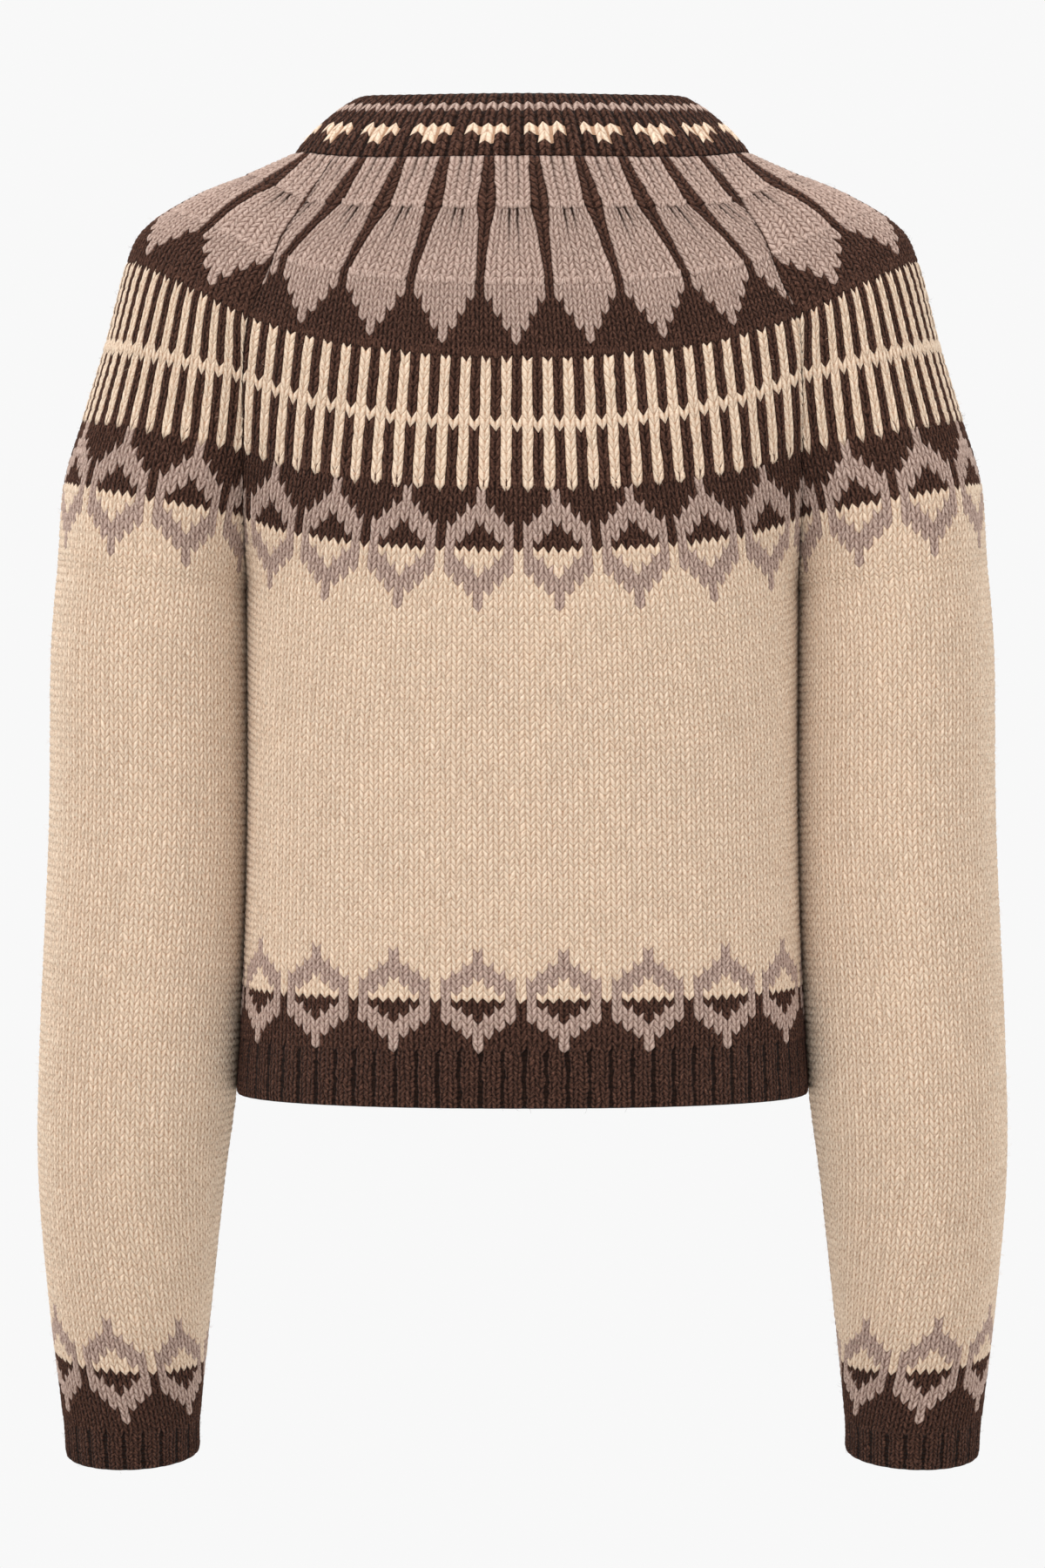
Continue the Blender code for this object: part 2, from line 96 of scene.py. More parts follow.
# The body's rings: height, depth behind and in front of the middle, and roundness (2 is an ellipse).
BODY_COLUMNS = ("z", "back", "front", "power")
BODY = (
    (-0.4945, 0.0985, 0.1040, 2.25),
    (-0.4640, 0.0995, 0.1050, 2.25),
    (-0.4100, 0.1005, 0.1070, 2.25),
    (-0.3300, 0.1030, 0.1100, 2.25),
    (-0.2457, 0.1062, 0.1130, 2.25),
    (-0.1720, 0.1062, 0.1090, 2.25),
    (-0.1045, 0.1020, 0.0960, 2.20),
    (-0.0620, 0.0955, 0.0800, 2.10),
    (-0.0266, 0.0860, 0.0760, 2.05),
    (0.0000, 0.0750, 0.0750, 2.00),
    (0.0100, 0.0720, 0.0740, 2.00),
)
WAIST_COLUMNS = ("z", "half_width")
WAIST = (
    (-0.4945, 0.1532),
    (-0.4640, 0.1512),
    (-0.4100, 0.1482),
    (-0.3300, 0.1466),
    (-0.2457, 0.1466),
    (-0.2255, 0.1466),
)


def smooth(table_x, table_y, x):
    """A curve through a table's rows: cubic between two rows, each row's slope taken from its neighbours."""
    table_x = np.asarray(table_x, float)
    table_y = np.asarray(table_y, float)
    x = np.clip(np.asarray(x, float), table_x[0], table_x[-1])
    slope = np.gradient(table_y, table_x)
    i = np.clip(np.searchsorted(table_x, x, side="right") - 1, 0, len(table_x) - 2)
    width = table_x[i + 1] - table_x[i]
    t = (x - table_x[i]) / width
    start = table_y[i] * (1 + 2 * t) * (1 - t) ** 2 + slope[i] * width * t * (1 - t) ** 2
    end = table_y[i + 1] * t * t * (3 - 2 * t) - slope[i + 1] * width * t * t * (1 - t)
    return start + end


def column_of(table, names, column, x):
    """A column of a table as a smooth function of the table's first column."""
    return smooth([row[0] for row in table], [row[names.index(column)] for row in table], x)


def yoke(column, level):
    """A column of the yoke's table as a smooth function of the level."""
    return smooth(range(len(YOKE)), [row[YOKE_COLUMNS.index(column)] for row in YOKE], level)


def body(column, z):
    """A column of the body's rings as a smooth function of height."""
    return column_of(BODY, BODY_COLUMNS, column, z)


def neck_ring(ring, angle):
    """A ring round the neck, from 0 in the middle of the back to +-pi in front: an ellipse that rises at the
    sides, by the sixth power of the sine, and drops in front, by the cube of the turn's share."""
    front = (1 - np.cos(angle)) / 2
    return np.stack(
        [
            ring["half_width"] * np.sin(angle),
            ring["y"] - ring["half_depth"] * np.cos(angle),
            ring["z"] + ring["side_rise"] * np.sin(angle) ** 6 - ring["drop"] * front**3,
        ],
        axis=-1,
    )


def near_neck(level):
    """1 at the neckband, easing to 0 at NECK_REACH."""
    fade = np.clip(1 - level / NECK_REACH, 0, 1)
    return (fade * fade * (3 - 2 * fade))[..., None]


def seam_y(level):
    """Half the distance between the back and front raglan seams at a yoke level."""
    angle = np.radians(yoke("sleeve_angle", level))
    return np.maximum(yoke("sleeve_depth", level) * np.sin(angle), 0)


def body_half_width(z, side):
    """Half width of the body's ring at height z. Over the underarm the ring passes through the seam."""
    levels = np.linspace(0, UNDERARM, 10 * UNDERARM + 1)
    seam_z = yoke("seam_" + side + "_z", levels)
    power = body("power", seam_z)
    share = np.clip(seam_y(levels) / body(side, seam_z), 0, 0.999)
    through = yoke("seam_x", levels) / (1 - share**power) ** (1 / power)
    below_arm = column_of(WAIST, WAIST_COLUMNS, "half_width", z)
    return np.where(z <= seam_z[-1], below_arm, np.interp(-z, -seam_z, through))


def body_row_z(side, level):
    """Heights of a body row in the middle and at its edge."""
    in_yoke = np.minimum(level, UNDERARM)
    below = np.clip(level - UNDERARM, 0, 1)
    rib = np.clip(level - BODY_END, 0, 1)
    middle = yoke(side + "_z", in_yoke)
    edge = yoke("seam_" + side + "_z", in_yoke)
    middle = middle + (HEM_RIB_TOP_Z - middle) * below
    edge = edge + (HEM_RIB_TOP_Z - edge) * below
    return middle + (HEM_Z - HEM_RIB_TOP_Z) * rib, edge + (HEM_Z - HEM_RIB_TOP_Z) * rib


def body_ring(side, level, across):
    """A point on the body's rings |x/a|^n + |y/b|^n = 1. A row of the cloth rises from its middle to its
    edges by the square of across, which runs from -1 to 1 between the two seams of that side."""
    middle, edge = body_row_z(side, level)
    z = middle + (edge - middle) * across**2
    edge_y = np.where(level < UNDERARM, seam_y(np.minimum(level, UNDERARM)), 0)
    edge_angle = np.arccos(np.clip(edge_y / body(side, edge), 0, 1) ** (body("power", edge) / 2))
    angle = across * edge_angle
    power = body("power", z)
    x = body_half_width(z, side) * np.sign(angle) * np.abs(np.sin(angle)) ** (2 / power)
    y = body(side, z) * np.abs(np.cos(angle)) ** (2 / power)
    return np.stack([x, -y if side == "back" else y, z], axis=-1)


def body_point(side, level, across):
    """A point of the body's outer face: on its rings, and drawn on to the neckband's foot near the neck."""
    limit = math.pi / 2 - math.radians(yoke("sleeve_angle", 0))
    round_neck = across * limit if side == "back" else math.pi - across * limit
    at_neck = neck_ring(NECK_FOOT, round_neck) - body_ring(side, 0 * level, across)
    return body_ring(side, level, across) + at_neck * near_neck(level)


def sorted_pair(a, b):
    """Both tables in the order in which the first one rises."""
    return (a, b) if a[-1] > a[0] else (a[::-1], b[::-1])


class Surface:
    """The outer face of a piece of cloth, tabulated. point(level, across) gives the shape, and a row runs
    from across = start to end, which is to the right as seen from outside. A place on it is a level and the
    distance run from the row's start. Rows are evenly spaced along the line at a share of their length."""

    columns = 241

    def __init__(self, point, levels, start, end, line=0.5):
        start, end = (np.broadcast_to(np.asarray(x, float), levels.shape)[:, None] for x in (start, end))
        even = np.linspace(0, 1, self.columns)
        across = start + (end - start) * even
        level = np.broadcast_to(levels[:, None], across.shape)
        steps = np.linalg.norm(np.diff(point(level, across), axis=1), axis=2)
        run = np.concatenate([np.zeros((len(levels), 1)), np.cumsum(steps, axis=1)], axis=1)
        self.length = run[:, -1]
        share = np.stack([np.interp(even * r[-1], r, even) for r in run])
        self.points = point(level, start + (end - start) * share)
        down = np.gradient(self.points, axis=0)
        normal = np.cross(down, np.gradient(self.points, axis=1))
        self.normal = normal / np.maximum(np.linalg.norm(normal, axis=2, keepdims=True), 1e-12)
        self.levels = levels
        down_line = np.linalg.norm(np.diff(self.points[:, round(line * (self.columns - 1))], axis=0), axis=1)
        self.depth = np.concatenate([[0], np.cumsum(down_line)])
        self.centre = np.array([
            np.interp(0, *sorted_pair(a, r)) for a, r in zip(start + (end - start) * even, run)
        ])

    def length_at(self, level):
        """A row's length."""
        return np.interp(level, self.levels, self.length)

    def centre_at(self, level):
        """The distance from a row's start to across = 0."""
        return np.interp(level, self.levels, self.centre)

    def level_of_row(self, row, rows):
        """The level of a knitted row. rows holds (row, level) pairs, and rows between two pairs are evenly
        spaced down the middle of the piece."""
        at_row, at_level = np.array(rows, float).T
        at_depth = np.interp(at_level, self.levels, self.depth)
        first = (at_depth[1] - at_depth[0]) / (at_row[1] - at_row[0])
        last = (at_depth[-1] - at_depth[-2]) / (at_row[-1] - at_row[-2])
        depth = np.interp(row, at_row, at_depth)
        depth = depth + np.minimum(row - at_row[0], 0) * first + np.maximum(row - at_row[-1], 0) * last
        return np.interp(depth, self.depth, self.levels)

    def place(self, level, run, height):
        """Points at a level, run along its row, and height outside the face."""
        i = np.interp(level, self.levels, np.arange(len(self.levels)))
        j = np.clip(run / self.length_at(level), 0, 1) * (self.columns - 1)
        i0 = np.minimum(i.astype(int), len(self.levels) - 2)
        j0 = np.minimum(j.astype(int), self.columns - 2)
        a, b = (i - i0)[..., None], (j - j0)[..., None]
        point, normal = (
            (t[i0, j0] * (1 - b) + t[i0, j0 + 1] * b) * (1 - a)
            + (t[i0 + 1, j0] * (1 - b) + t[i0 + 1, j0 + 1] * b) * a
            for t in (self.points, self.normal)
        )
        return point + normal * height[..., None]


# A stitch is a V of two legs. Each leg is a cell of the lattice, slanted down towards the V's middle, with
# a low hipped roof along its strand. A purl stitch is a cell whose roof lies along the row.
LEFT, RIGHT, PURL = 0, 1, 2
SLANT = 0.72            # how far the V's middle hangs below its tips, in rows
LEG_RISE = 0.00055      # a strand's back stands this far outside the cloth's face
GROOVE = 0.00040        # and the lines between strands lie this far inside it
PURL_RISE = -0.0003     # a rib's purl column sinks
STRAND_SPREAD = 0.08    # how unevenly strands stand out, as a share
ROOF = {                # the roof's two ends as (share across the cell, share down it)
    LEFT: ((0.42, 0.26), (0.58, 0.74)),
    RIGHT: ((0.58, 0.26), (0.42, 0.74)),
    PURL: ((0.25, 0.50), (0.75, 0.50)),
}
YARNS = {"C": 0, "M": 1, "B": 2}        # cream, mauve and brown, as the charts write them
YARN_RISE = np.array([0.00012, 0.0, -0.00012])
EDGE_ROLL = 0.0003      # how deep a sewn edge turns in, and over what distance
EDGE_REACH = 0.0035
TUCK = 0.0006           # a band's first row lies this deep, under the last row of the band above
TUCK_ROWS = 1.5         # and it comes up over this many rows
CAST_OFF = 0.0006       # a rib's last line turns in this deep, over a share of its last row
CAST_OFF_ROWS = 0.8
SLIT = 0.0012           # the knitting parts up to this deep where stitches are drawn together
SLIT_SPREAD = 3         # and a slit may be longer or shorter by up to this many rows
UNEVEN = 0.07           # how unevenly stitches lie, in rows
chance = np.random.default_rng(11)


class Knitting:
    """Stitches gathered into one closed mesh for each piece."""

    def __init__(self):
        self.points, self.corners, self.sizes, self.uvs, self.yarns, self.inside = [], [], [], [], [], []
        self.depths = []
        self.count = 0

    def faces(self, corners, uvs, yarn, inside):
        """Adds faces: their corners (n, k), the corners' uvs (n, k, 2), and their yarn."""
        self.corners.append(corners.reshape(-1))
        self.sizes.append(np.full(len(corners), corners.shape[1]))
        self.uvs.append(uvs.reshape(-1, 2))
        self.yarns.append(np.broadcast_to(yarn, len(corners)).astype(float))
        self.inside.append(np.full(len(corners), float(inside)))

    def lay(self, place, rows, lines, kinds, yarn, hang, sink=0.0, rise=1.0):
        """Lays rows of cells between lines. place(line, row, height) gives points and which of them the
        piece has. lines holds each line's position, slant and depth. yarn is (rows, cells). hang keeps the
        last row's V shape at its foot, where a rib is cast off straight. sink is how deep the first row
        lies, and rise is how far the strands stand out, as a share of a panel's."""
        position, slant, depth = (np.asarray(x, float) for x in lines)
        lowest = -GROOVE * rise
        first, last = rows
        row = np.arange(first, last + 1, dtype=float)[:, None]
        fade = np.clip(row - first, 0, 1) * (1 if hang else np.clip(last - row, 0, 1))
        uneven = chance.normal(0, UNEVEN, (len(row), len(position))) * fade
        corner_row = row + slant * fade + uneven
        corner_line = position + chance.normal(0, UNEVEN / 2, corner_row.shape) * fade
        sunk = lowest - depth - sink * np.clip(1 - (row - first) / TUCK_ROWS, 0, 1)
        rim = CAST_OFF * (1 - (1 if hang else np.clip((last - row) / CAST_OFF_ROWS, 0, 1)))
        sunk = np.broadcast_to(sunk - rim, corner_row.shape)
        drawn = np.broadcast_to(depth, corner_row.shape)
        outer, kept = place(corner_line, corner_row, sunk)
        inner, _ = place(corner_line, corner_row, np.full(corner_row.shape, -WALL))
        cells = kept[:-1, :-1] | kept[:-1, 1:] | kept[1:, :-1] | kept[1:, 1:]
        kind = np.broadcast_to(kinds, cells.shape)
        shares = np.array([ROOF[k] for k in (LEFT, RIGHT, PURL)])[kind]
        roofs, roof_depths = [], []
        for end in (0, 1):
            s, t = shares[..., end, 0], shares[..., end, 1]
            mixed = [
                (v[:-1, :-1] * (1 - s) + v[:-1, 1:] * s) * (1 - t)
                + (v[1:, :-1] * (1 - s) + v[1:, 1:] * s) * t
                for v in (corner_line, corner_row, sunk, drawn)
            ]
            up = np.where(kind == PURL, PURL_RISE, (LEG_RISE + GROOVE) * rise)
            up = up * chance.normal(1, STRAND_SPREAD, kind.shape)
            roofs.append(place(mixed[0], mixed[1], mixed[2] + up + YARN_RISE[yarn])[0])
            roof_depths.append(mixed[3])
        size = outer.shape[0] * outer.shape[1]
        index = self.count + np.arange(size).reshape(outer.shape[:2])
        roof_start = self.count + 2 * size
        roof = [roof_start + n * kind.size + np.arange(kind.size).reshape(kind.shape) for n in (0, 1)]
        self.points += [face.reshape(-1, 3) for face in (outer, inner, *roofs)]
        self.depths += [drawn.ravel(), np.zeros(size), roof_depths[0].ravel(), roof_depths[1].ravel()]
        self.count += 2 * size + 2 * kind.size

        number = np.arange(kind.shape[1]) * 4 + kinds
        u0 = np.broadcast_to(number, kind.shape).astype(float)
        v0 = np.broadcast_to(np.arange(kind.shape[0], dtype=float)[:, None], kind.shape)
        corner = {
            "tl": (index[:-1, :-1], u0, v0),
            "bl": (index[1:, :-1], u0, v0 + 1),
            "br": (index[1:, 1:], u0 + 1, v0 + 1),
            "tr": (index[:-1, 1:], u0 + 1, v0),
            "r1": (roof[0], u0 + shares[..., 0, 0], v0 + shares[..., 0, 1]),
            "r2": (roof[1], u0 + shares[..., 1, 0], v0 + shares[..., 1, 1]),
        }
        fan = (("tl", "bl", "r1"), ("bl", "r2", "r1"), ("bl", "br", "r2"), ("br", "tr", "r2"),
               ("tr", "r1", "r2"), ("tr", "tl", "r1"))
        flipped = {"tl": "tr", "tr": "tl", "bl": "br", "br": "bl", "r1": "r1", "r2": "r2"}
        right = cells & (kind == RIGHT)
        left = cells & (kind != RIGHT)
        edges = (
            (("bl", "tl"), cells & ~np.pad(cells, ((0, 0), (1, 0)))[:, :-1]),
            (("tr", "br"), cells & ~np.pad(cells, ((0, 0), (0, 1)))[:, 1:]),
            (("tl", "tr"), cells & ~np.pad(cells, ((1, 0), (0, 0)))[:-1]),
            (("br", "bl"), cells & ~np.pad(cells, ((0, 1), (0, 0)))[1:]),
        )

        def add(names, mask, inside=False, down=()):
            """Adds one face for each cell in mask, through the corners names and then, inside, down."""
            picked = [corner[n] for n in names] + [corner[n] for n in down]
            moved = [size * (inside or i >= len(names)) for i in range(len(picked))]
            corners = np.stack([p[0][mask] + m for p, m in zip(picked, moved)], axis=1)
            uvs = np.stack([np.stack([p[1][mask], p[2][mask]], axis=1) for p in picked], axis=1)
            self.faces(corners, uvs, yarn[mask], inside or len(down) > 0)

        for names in fan:
            add(names, left)
            add([flipped[n] for n in names[::-1]], right)
        add(("tl", "tr", "br", "bl"), cells, inside=True)
        for (a, b), mask in edges:
            add((a, b), mask, down=(b, a))

    def piece(self, name, materials):
        """Makes the gathered stitches an object."""
        points = np.concatenate(self.points)
        corners = np.concatenate(self.corners)
        used, corners = np.unique(corners, return_inverse=True)
        sizes = np.concatenate(self.sizes)
        mesh = bpy.data.meshes.new(name)
        mesh.vertices.add(len(used))
        mesh.vertices.foreach_set("co", points[used].astype(np.float32).ravel())
        mesh.loops.add(len(corners))
        mesh.loops.foreach_set("vertex_index", corners.astype(np.int32))
        mesh.polygons.add(len(sizes))
        mesh.polygons.foreach_set("loop_start", (np.cumsum(sizes) - sizes).astype(np.int32))
        mesh.update(calc_edges=True)
        mesh.polygons.foreach_set("use_smooth", np.ones(len(sizes), bool))
        stitches = mesh.uv_layers.new(name="stitches")
        stitches.uv.foreach_set("vector", np.concatenate(self.uvs).astype(np.float32).ravel())
        for attribute, values in (("yarn", self.yarns), ("inside", self.inside)):
            made = mesh.attributes.new(attribute, "FLOAT", "FACE")
            made.data.foreach_set("value", np.concatenate(values).astype(np.float32))
        # each point's line depth, which the wool shader paints as shade
        made = mesh.attributes.new("depth", "FLOAT", "POINT")
        made.data.foreach_set("value", np.concatenate(self.depths)[used].astype(np.float32))
        for material in materials:
            mesh.materials.append(material)
        obj = bpy.data.objects.new(name, mesh)
        bpy.context.scene.collection.objects.link(obj)
        return obj


def charted(chart, start, rows, numbers):
    """The yarns of stitches by number, read from a chart of rows. Its column start lies at number 0."""
    table = np.array([[YARNS[letter] for letter in row] for row in chart])
    return table[np.arange(rows)[:, None], (numbers + start) % table.shape[1]]


def knit_band(knitting, surface, band, centre, toward=1):
    """Lays one band of plain knitting on a surface, from its chart. centre(level) is where stitch number 0
    would lie along the row, and the band's shift moves it on toward that side."""
    count = len(band["chart"])
    repeat = len(band["chart"][0])
    tables = (band["width"], band["shift"], band.get("first", ((0, 1), (1, 1))))

    def place(line, row, height):
        """The point at a stitch number and a row, and whether it is inside the piece. A stitch's run along
        the row is its number times the row's stitch width, the first stitch of each repeat being wider or
        narrower than the others. The edges turn in by a bell curve."""
        level = surface.level_of_row(row, band["rows"])
        length = surface.length_at(level)
        width, shift, first = (np.interp(row, *np.array(table, float).T) for table in tables)
        place_in_repeat = (line + band["start"] + 0.5) % repeat
        beyond_first = first + (place_in_repeat - 1) * (repeat - first) / (repeat - 1)
        moved = np.where(place_in_repeat < 1, place_in_repeat * first, beyond_first) - (first - 1) / 2
        run = centre(level) + toward * shift + width * (line + moved - place_in_repeat)
        clipped = np.clip(run, 0, length)
        edge = np.minimum(clipped, length - clipped)
        roll = EDGE_ROLL * np.exp(-((edge / EDGE_REACH) ** 2)) * (height > -WALL)
        return surface.place(level, clipped, height - roll), (run > 0) & (run < length)

    lowest, highest = band["numbers"]
    numbers = np.arange(lowest, highest + 1)
    position = np.arange(2 * len(numbers) + 1) / 2 + lowest - 0.5
    slant = SLANT * (np.arange(len(position)) % 2)
    kinds = np.arange(2 * len(numbers)) % 2
    yarn = np.repeat(charted(band["chart"], band["start"], count, numbers), 2, axis=1)
    tucked = 1 if band["tuck"] else 0
    if tucked:
        above = yarn[:1] if band["tuck"] == "chart" else np.full_like(yarn[:1], YARNS[band["tuck"]])
        yarn = np.concatenate([above, yarn])
    depth = np.zeros((count + 1 + tucked, len(position)))
    if "slits" in band:
        middle_slit, other_slits, rows_long = band["slits"]
        from_middle = np.abs((position + repeat / 2) % repeat - repeat / 2)
        between = np.isclose(position % 1, 0.5) * chance.uniform(0, other_slits, len(position))
        deep = np.where(np.isclose(from_middle, 0.5), middle_slit, between)
        length = rows_long + chance.integers(-SLIT_SPREAD, SLIT_SPREAD, len(position))
        row = np.arange(-tucked, count + 1)[:, None]
        depth = SLIT * deep * (row > -1) * np.clip(1 - row / length, 0, 1)
    knitting.lay(place, (-tucked, count), (position, slant, depth), kinds, yarn, True, sink=TUCK * tucked)


LEAF = (
    "BBBBMBBB",
    "BBBBMBBB",
    "BBBMMMBB",
    "BBMMMMMB",
    "BMMMBMMM",
    "BMMBBBMM",
    "BMBBBBBM",
    "CMCCCCCM",
    "CMMCCCMM",
    "CMMMCMMM",
    "CCMMMMMC",
    "CCCMMMCC",
    "CCCCMCCC",
    "CCCCMCCC",
)
LOWER_LEAF = tuple(row.translate(str.maketrans("BC", "CB")) for row in LEAF)
STRIPES = ("BC",) * 6 + ("CC",) + ("BC",) * 6
FEATHER_STEMS = ("BMMM",) * 8
FEATHER_BLADES = ("BMMMMM",) * 11
FEATHER_TIPS = tuple(
    row for row in ("BMMMMMMM", "BBMMMMMB", "BBBMMMBB", "BBBBMBBB", "BBBBBBBB") for _ in range(2)
)
PLAIN_ROWS = 48

# The bands of the body from the neckband down. chart is the band's pattern, with its column start at stitch
# number 0, and numbers are the lowest and highest stitch. rows gives (row, level), and three tables give a
# value at a row: a stitch's width, the shift of stitch number 0 to the wearer's left, and the width of each
# repeat's first stitch as a share of the others'. tuck is the yarn of the row tucked in above. slits gives
# how deep the slits beside a feather's middle are, how deep others are at most, and their length in rows.
STEM_FIRST = ((0, 0.92), (3, 1.10), (8, 1.45))
BLADE_FIRST = ((0, 2.1), (1.8, 1.6), (3.5, 1.2), (7, 0.95), (9, 0.75))
BODY_BANDS = (
    {
        "chart": FEATHER_STEMS, "start": 2, "numbers": (-22, 22), "rows": ((0, 0), (8, 1.0)), "tuck": "",
        "width": ((0, 0.00585), (8, 0.0070)), "shift": ((0, 0.0056), (8, 0.0048)), "first": STEM_FIRST,
        "slits": (0.7, 0.6, 16),
    },
    {
        "chart": FEATHER_BLADES, "start": 3, "numbers": (-31, 31), "rows": ((0, 1.0), (11, 2.55)),
        "width": ((0, 0.00465), (11, 0.0060)), "shift": ((0, 0.0048), (11, 0.0042)), "first": BLADE_FIRST,
        "tuck": "chart", "slits": (1.0, 0.75, 8),
    },
    {
        "chart": FEATHER_TIPS, "start": 4, "numbers": (-38, 38), "rows": ((0, 2.55), (10, 4)),
        "width": ((0, 0.0045), (10, 0.00486)), "shift": ((0, 0.0042), (10, 0.0029)), "tuck": "chart",
    },
    {
        "chart": STRIPES, "start": 0, "numbers": (-33, 33), "rows": ((0, 4), (13, 6)),
        "width": ((0, 0.00525), (13, 0.0057)), "shift": ((0, 0.0029), (1, 0.0029)), "tuck": "B",
    },
    {
        "chart": LEAF + ("CCCCCCCC",) * PLAIN_ROWS + LOWER_LEAF, "start": 0, "numbers": (-42, 42),
        "rows": ((0, 6), (14, 8), (62, 9.756), (76, 10)),
        "width": ((0, 0.00475), (7, 0.00508), (14, 0.0053), (34, 0.0055), (76, 0.0056)),
        "shift": ((0, 0.0022), (76, 0.0007)), "tuck": "B",
    },
)
HANG = 0.12     # how far the surfaces go on past a panel's end, in levels, for its last row of stitches
body_levels = np.concatenate([np.linspace(0, UNDERARM, 181), np.linspace(UNDERARM, BODY_END + HANG, 61)[1:]])


def back_point(level, across):
    """The back: body_point behind."""
    return body_point("back", level, across)


back_face = Surface(back_point, body_levels, -1, 1)
knitting = Knitting()
for band in BODY_BANDS:
    knit_band(knitting, back_face, band, back_face.centre_at, -1)


class Socket:
    """A socket of a material's node tree. Arithmetic on it adds Math nodes."""

    def __init__(self, tree, socket=None):
        self.tree = tree
        self.socket = socket

    def node(self, kind, inputs=None, output=0, stops=None, **settings):
        """Adds a node with its settings, a ramp's stops, and then values or links for its inputs."""
        made = self.tree.nodes.new(kind)
        for name, value in settings.items():
            setattr(made, name, value)
        if stops:
            ramp = made.color_ramp
            while len(ramp.elements) < len(stops):
                ramp.elements.new(1)
            for element, (position, color) in zip(ramp.elements, stops):
                element.position, element.color = position, (*color, 1)
        for key, value in (inputs or {}).items():
            if isinstance(value, Socket):
                self.tree.links.new(value.socket, made.inputs[key])
            else:
                made.inputs[key].default_value = value
        return Socket(self.tree, made.outputs[output])

    def math(self, operation, *others, clamp=False):
        """Adds a Math node on this value and the others."""
        inputs = dict(enumerate((self, *others)))
        return self.node("ShaderNodeMath", inputs, operation=operation, use_clamp=clamp)

    def mixed(self, factor, other, blend="MIX"):
        """This colour towards another by factor."""
        inputs = {0: factor, 6: self, 7: other}
        return self.node("ShaderNodeMix", inputs, 2, data_type="RGBA", blend_type=blend)

    def __add__(self, other):
        return self.math("ADD", other)

    def __sub__(self, other):
        return self.math("SUBTRACT", other)

    def __rsub__(self, other):
        return self.math("MULTIPLY_ADD", -1, other)

    def __mul__(self, other):
        return self.math("MULTIPLY", other)

    def __pow__(self, other):
        return self.math("POWER", other)

    def __abs__(self):
        return self.math("ABSOLUTE")

    def __gt__(self, other):
        return self.math("GREATER_THAN", other)

    __radd__ = __add__
    __rmul__ = __mul__


def linear(red, green, blue):
    """A colour written as it shows, 0 to 255, in the shader's linear light."""
    shares = (red / 255, green / 255, blue / 255)
    return tuple(((c + 0.055) / 1.055) ** 2.4 if c > 0.04 else c / 12.92 for c in shares)


# Each yarn's own colour; its palest fibres, also used as painted highlight on a strand's back; and its
# darkest fibres, also used as painted shade deep between the strands.
WOOL_COLORS = {
    "cream": (linear(242, 215, 188), linear(253, 240, 221), linear(170, 124, 92)),
    "mauve": (linear(182, 153, 139), linear(226, 203, 190), linear(84, 58, 48)),
    "brown": (linear(51, 32, 25), linear(118, 83, 69), linear(16, 7, 4)),
}
GRAIN_LEAN = 0.25       # a strand crosses its cell from the outer to the inner side by this share
SLIT_SHADE = 1150.0     # a slit's painted shade is full at one over this depth
# the colour of the painted shade in a slit
PAINTED_SLIT_SHADE_COLOR = (0.03, 0.015, 0.010, 1)
BUMP_DEPTH = 0.0008
WOOL_FINISH = {"Roughness": 0.95, "Specular IOR Level": 0.04, "Sheen Weight": 0.04, "Sheen Roughness": 0.5}


def principled(name, values):
    """A new material, and its Principled BSDF with these values."""
    made = bpy.data.materials.new(name)
    made.use_nodes = True
    shader = made.node_tree.nodes["Principled BSDF"]
    for key, value in values.items():
        shader.inputs[key].default_value = value
    return made, shader


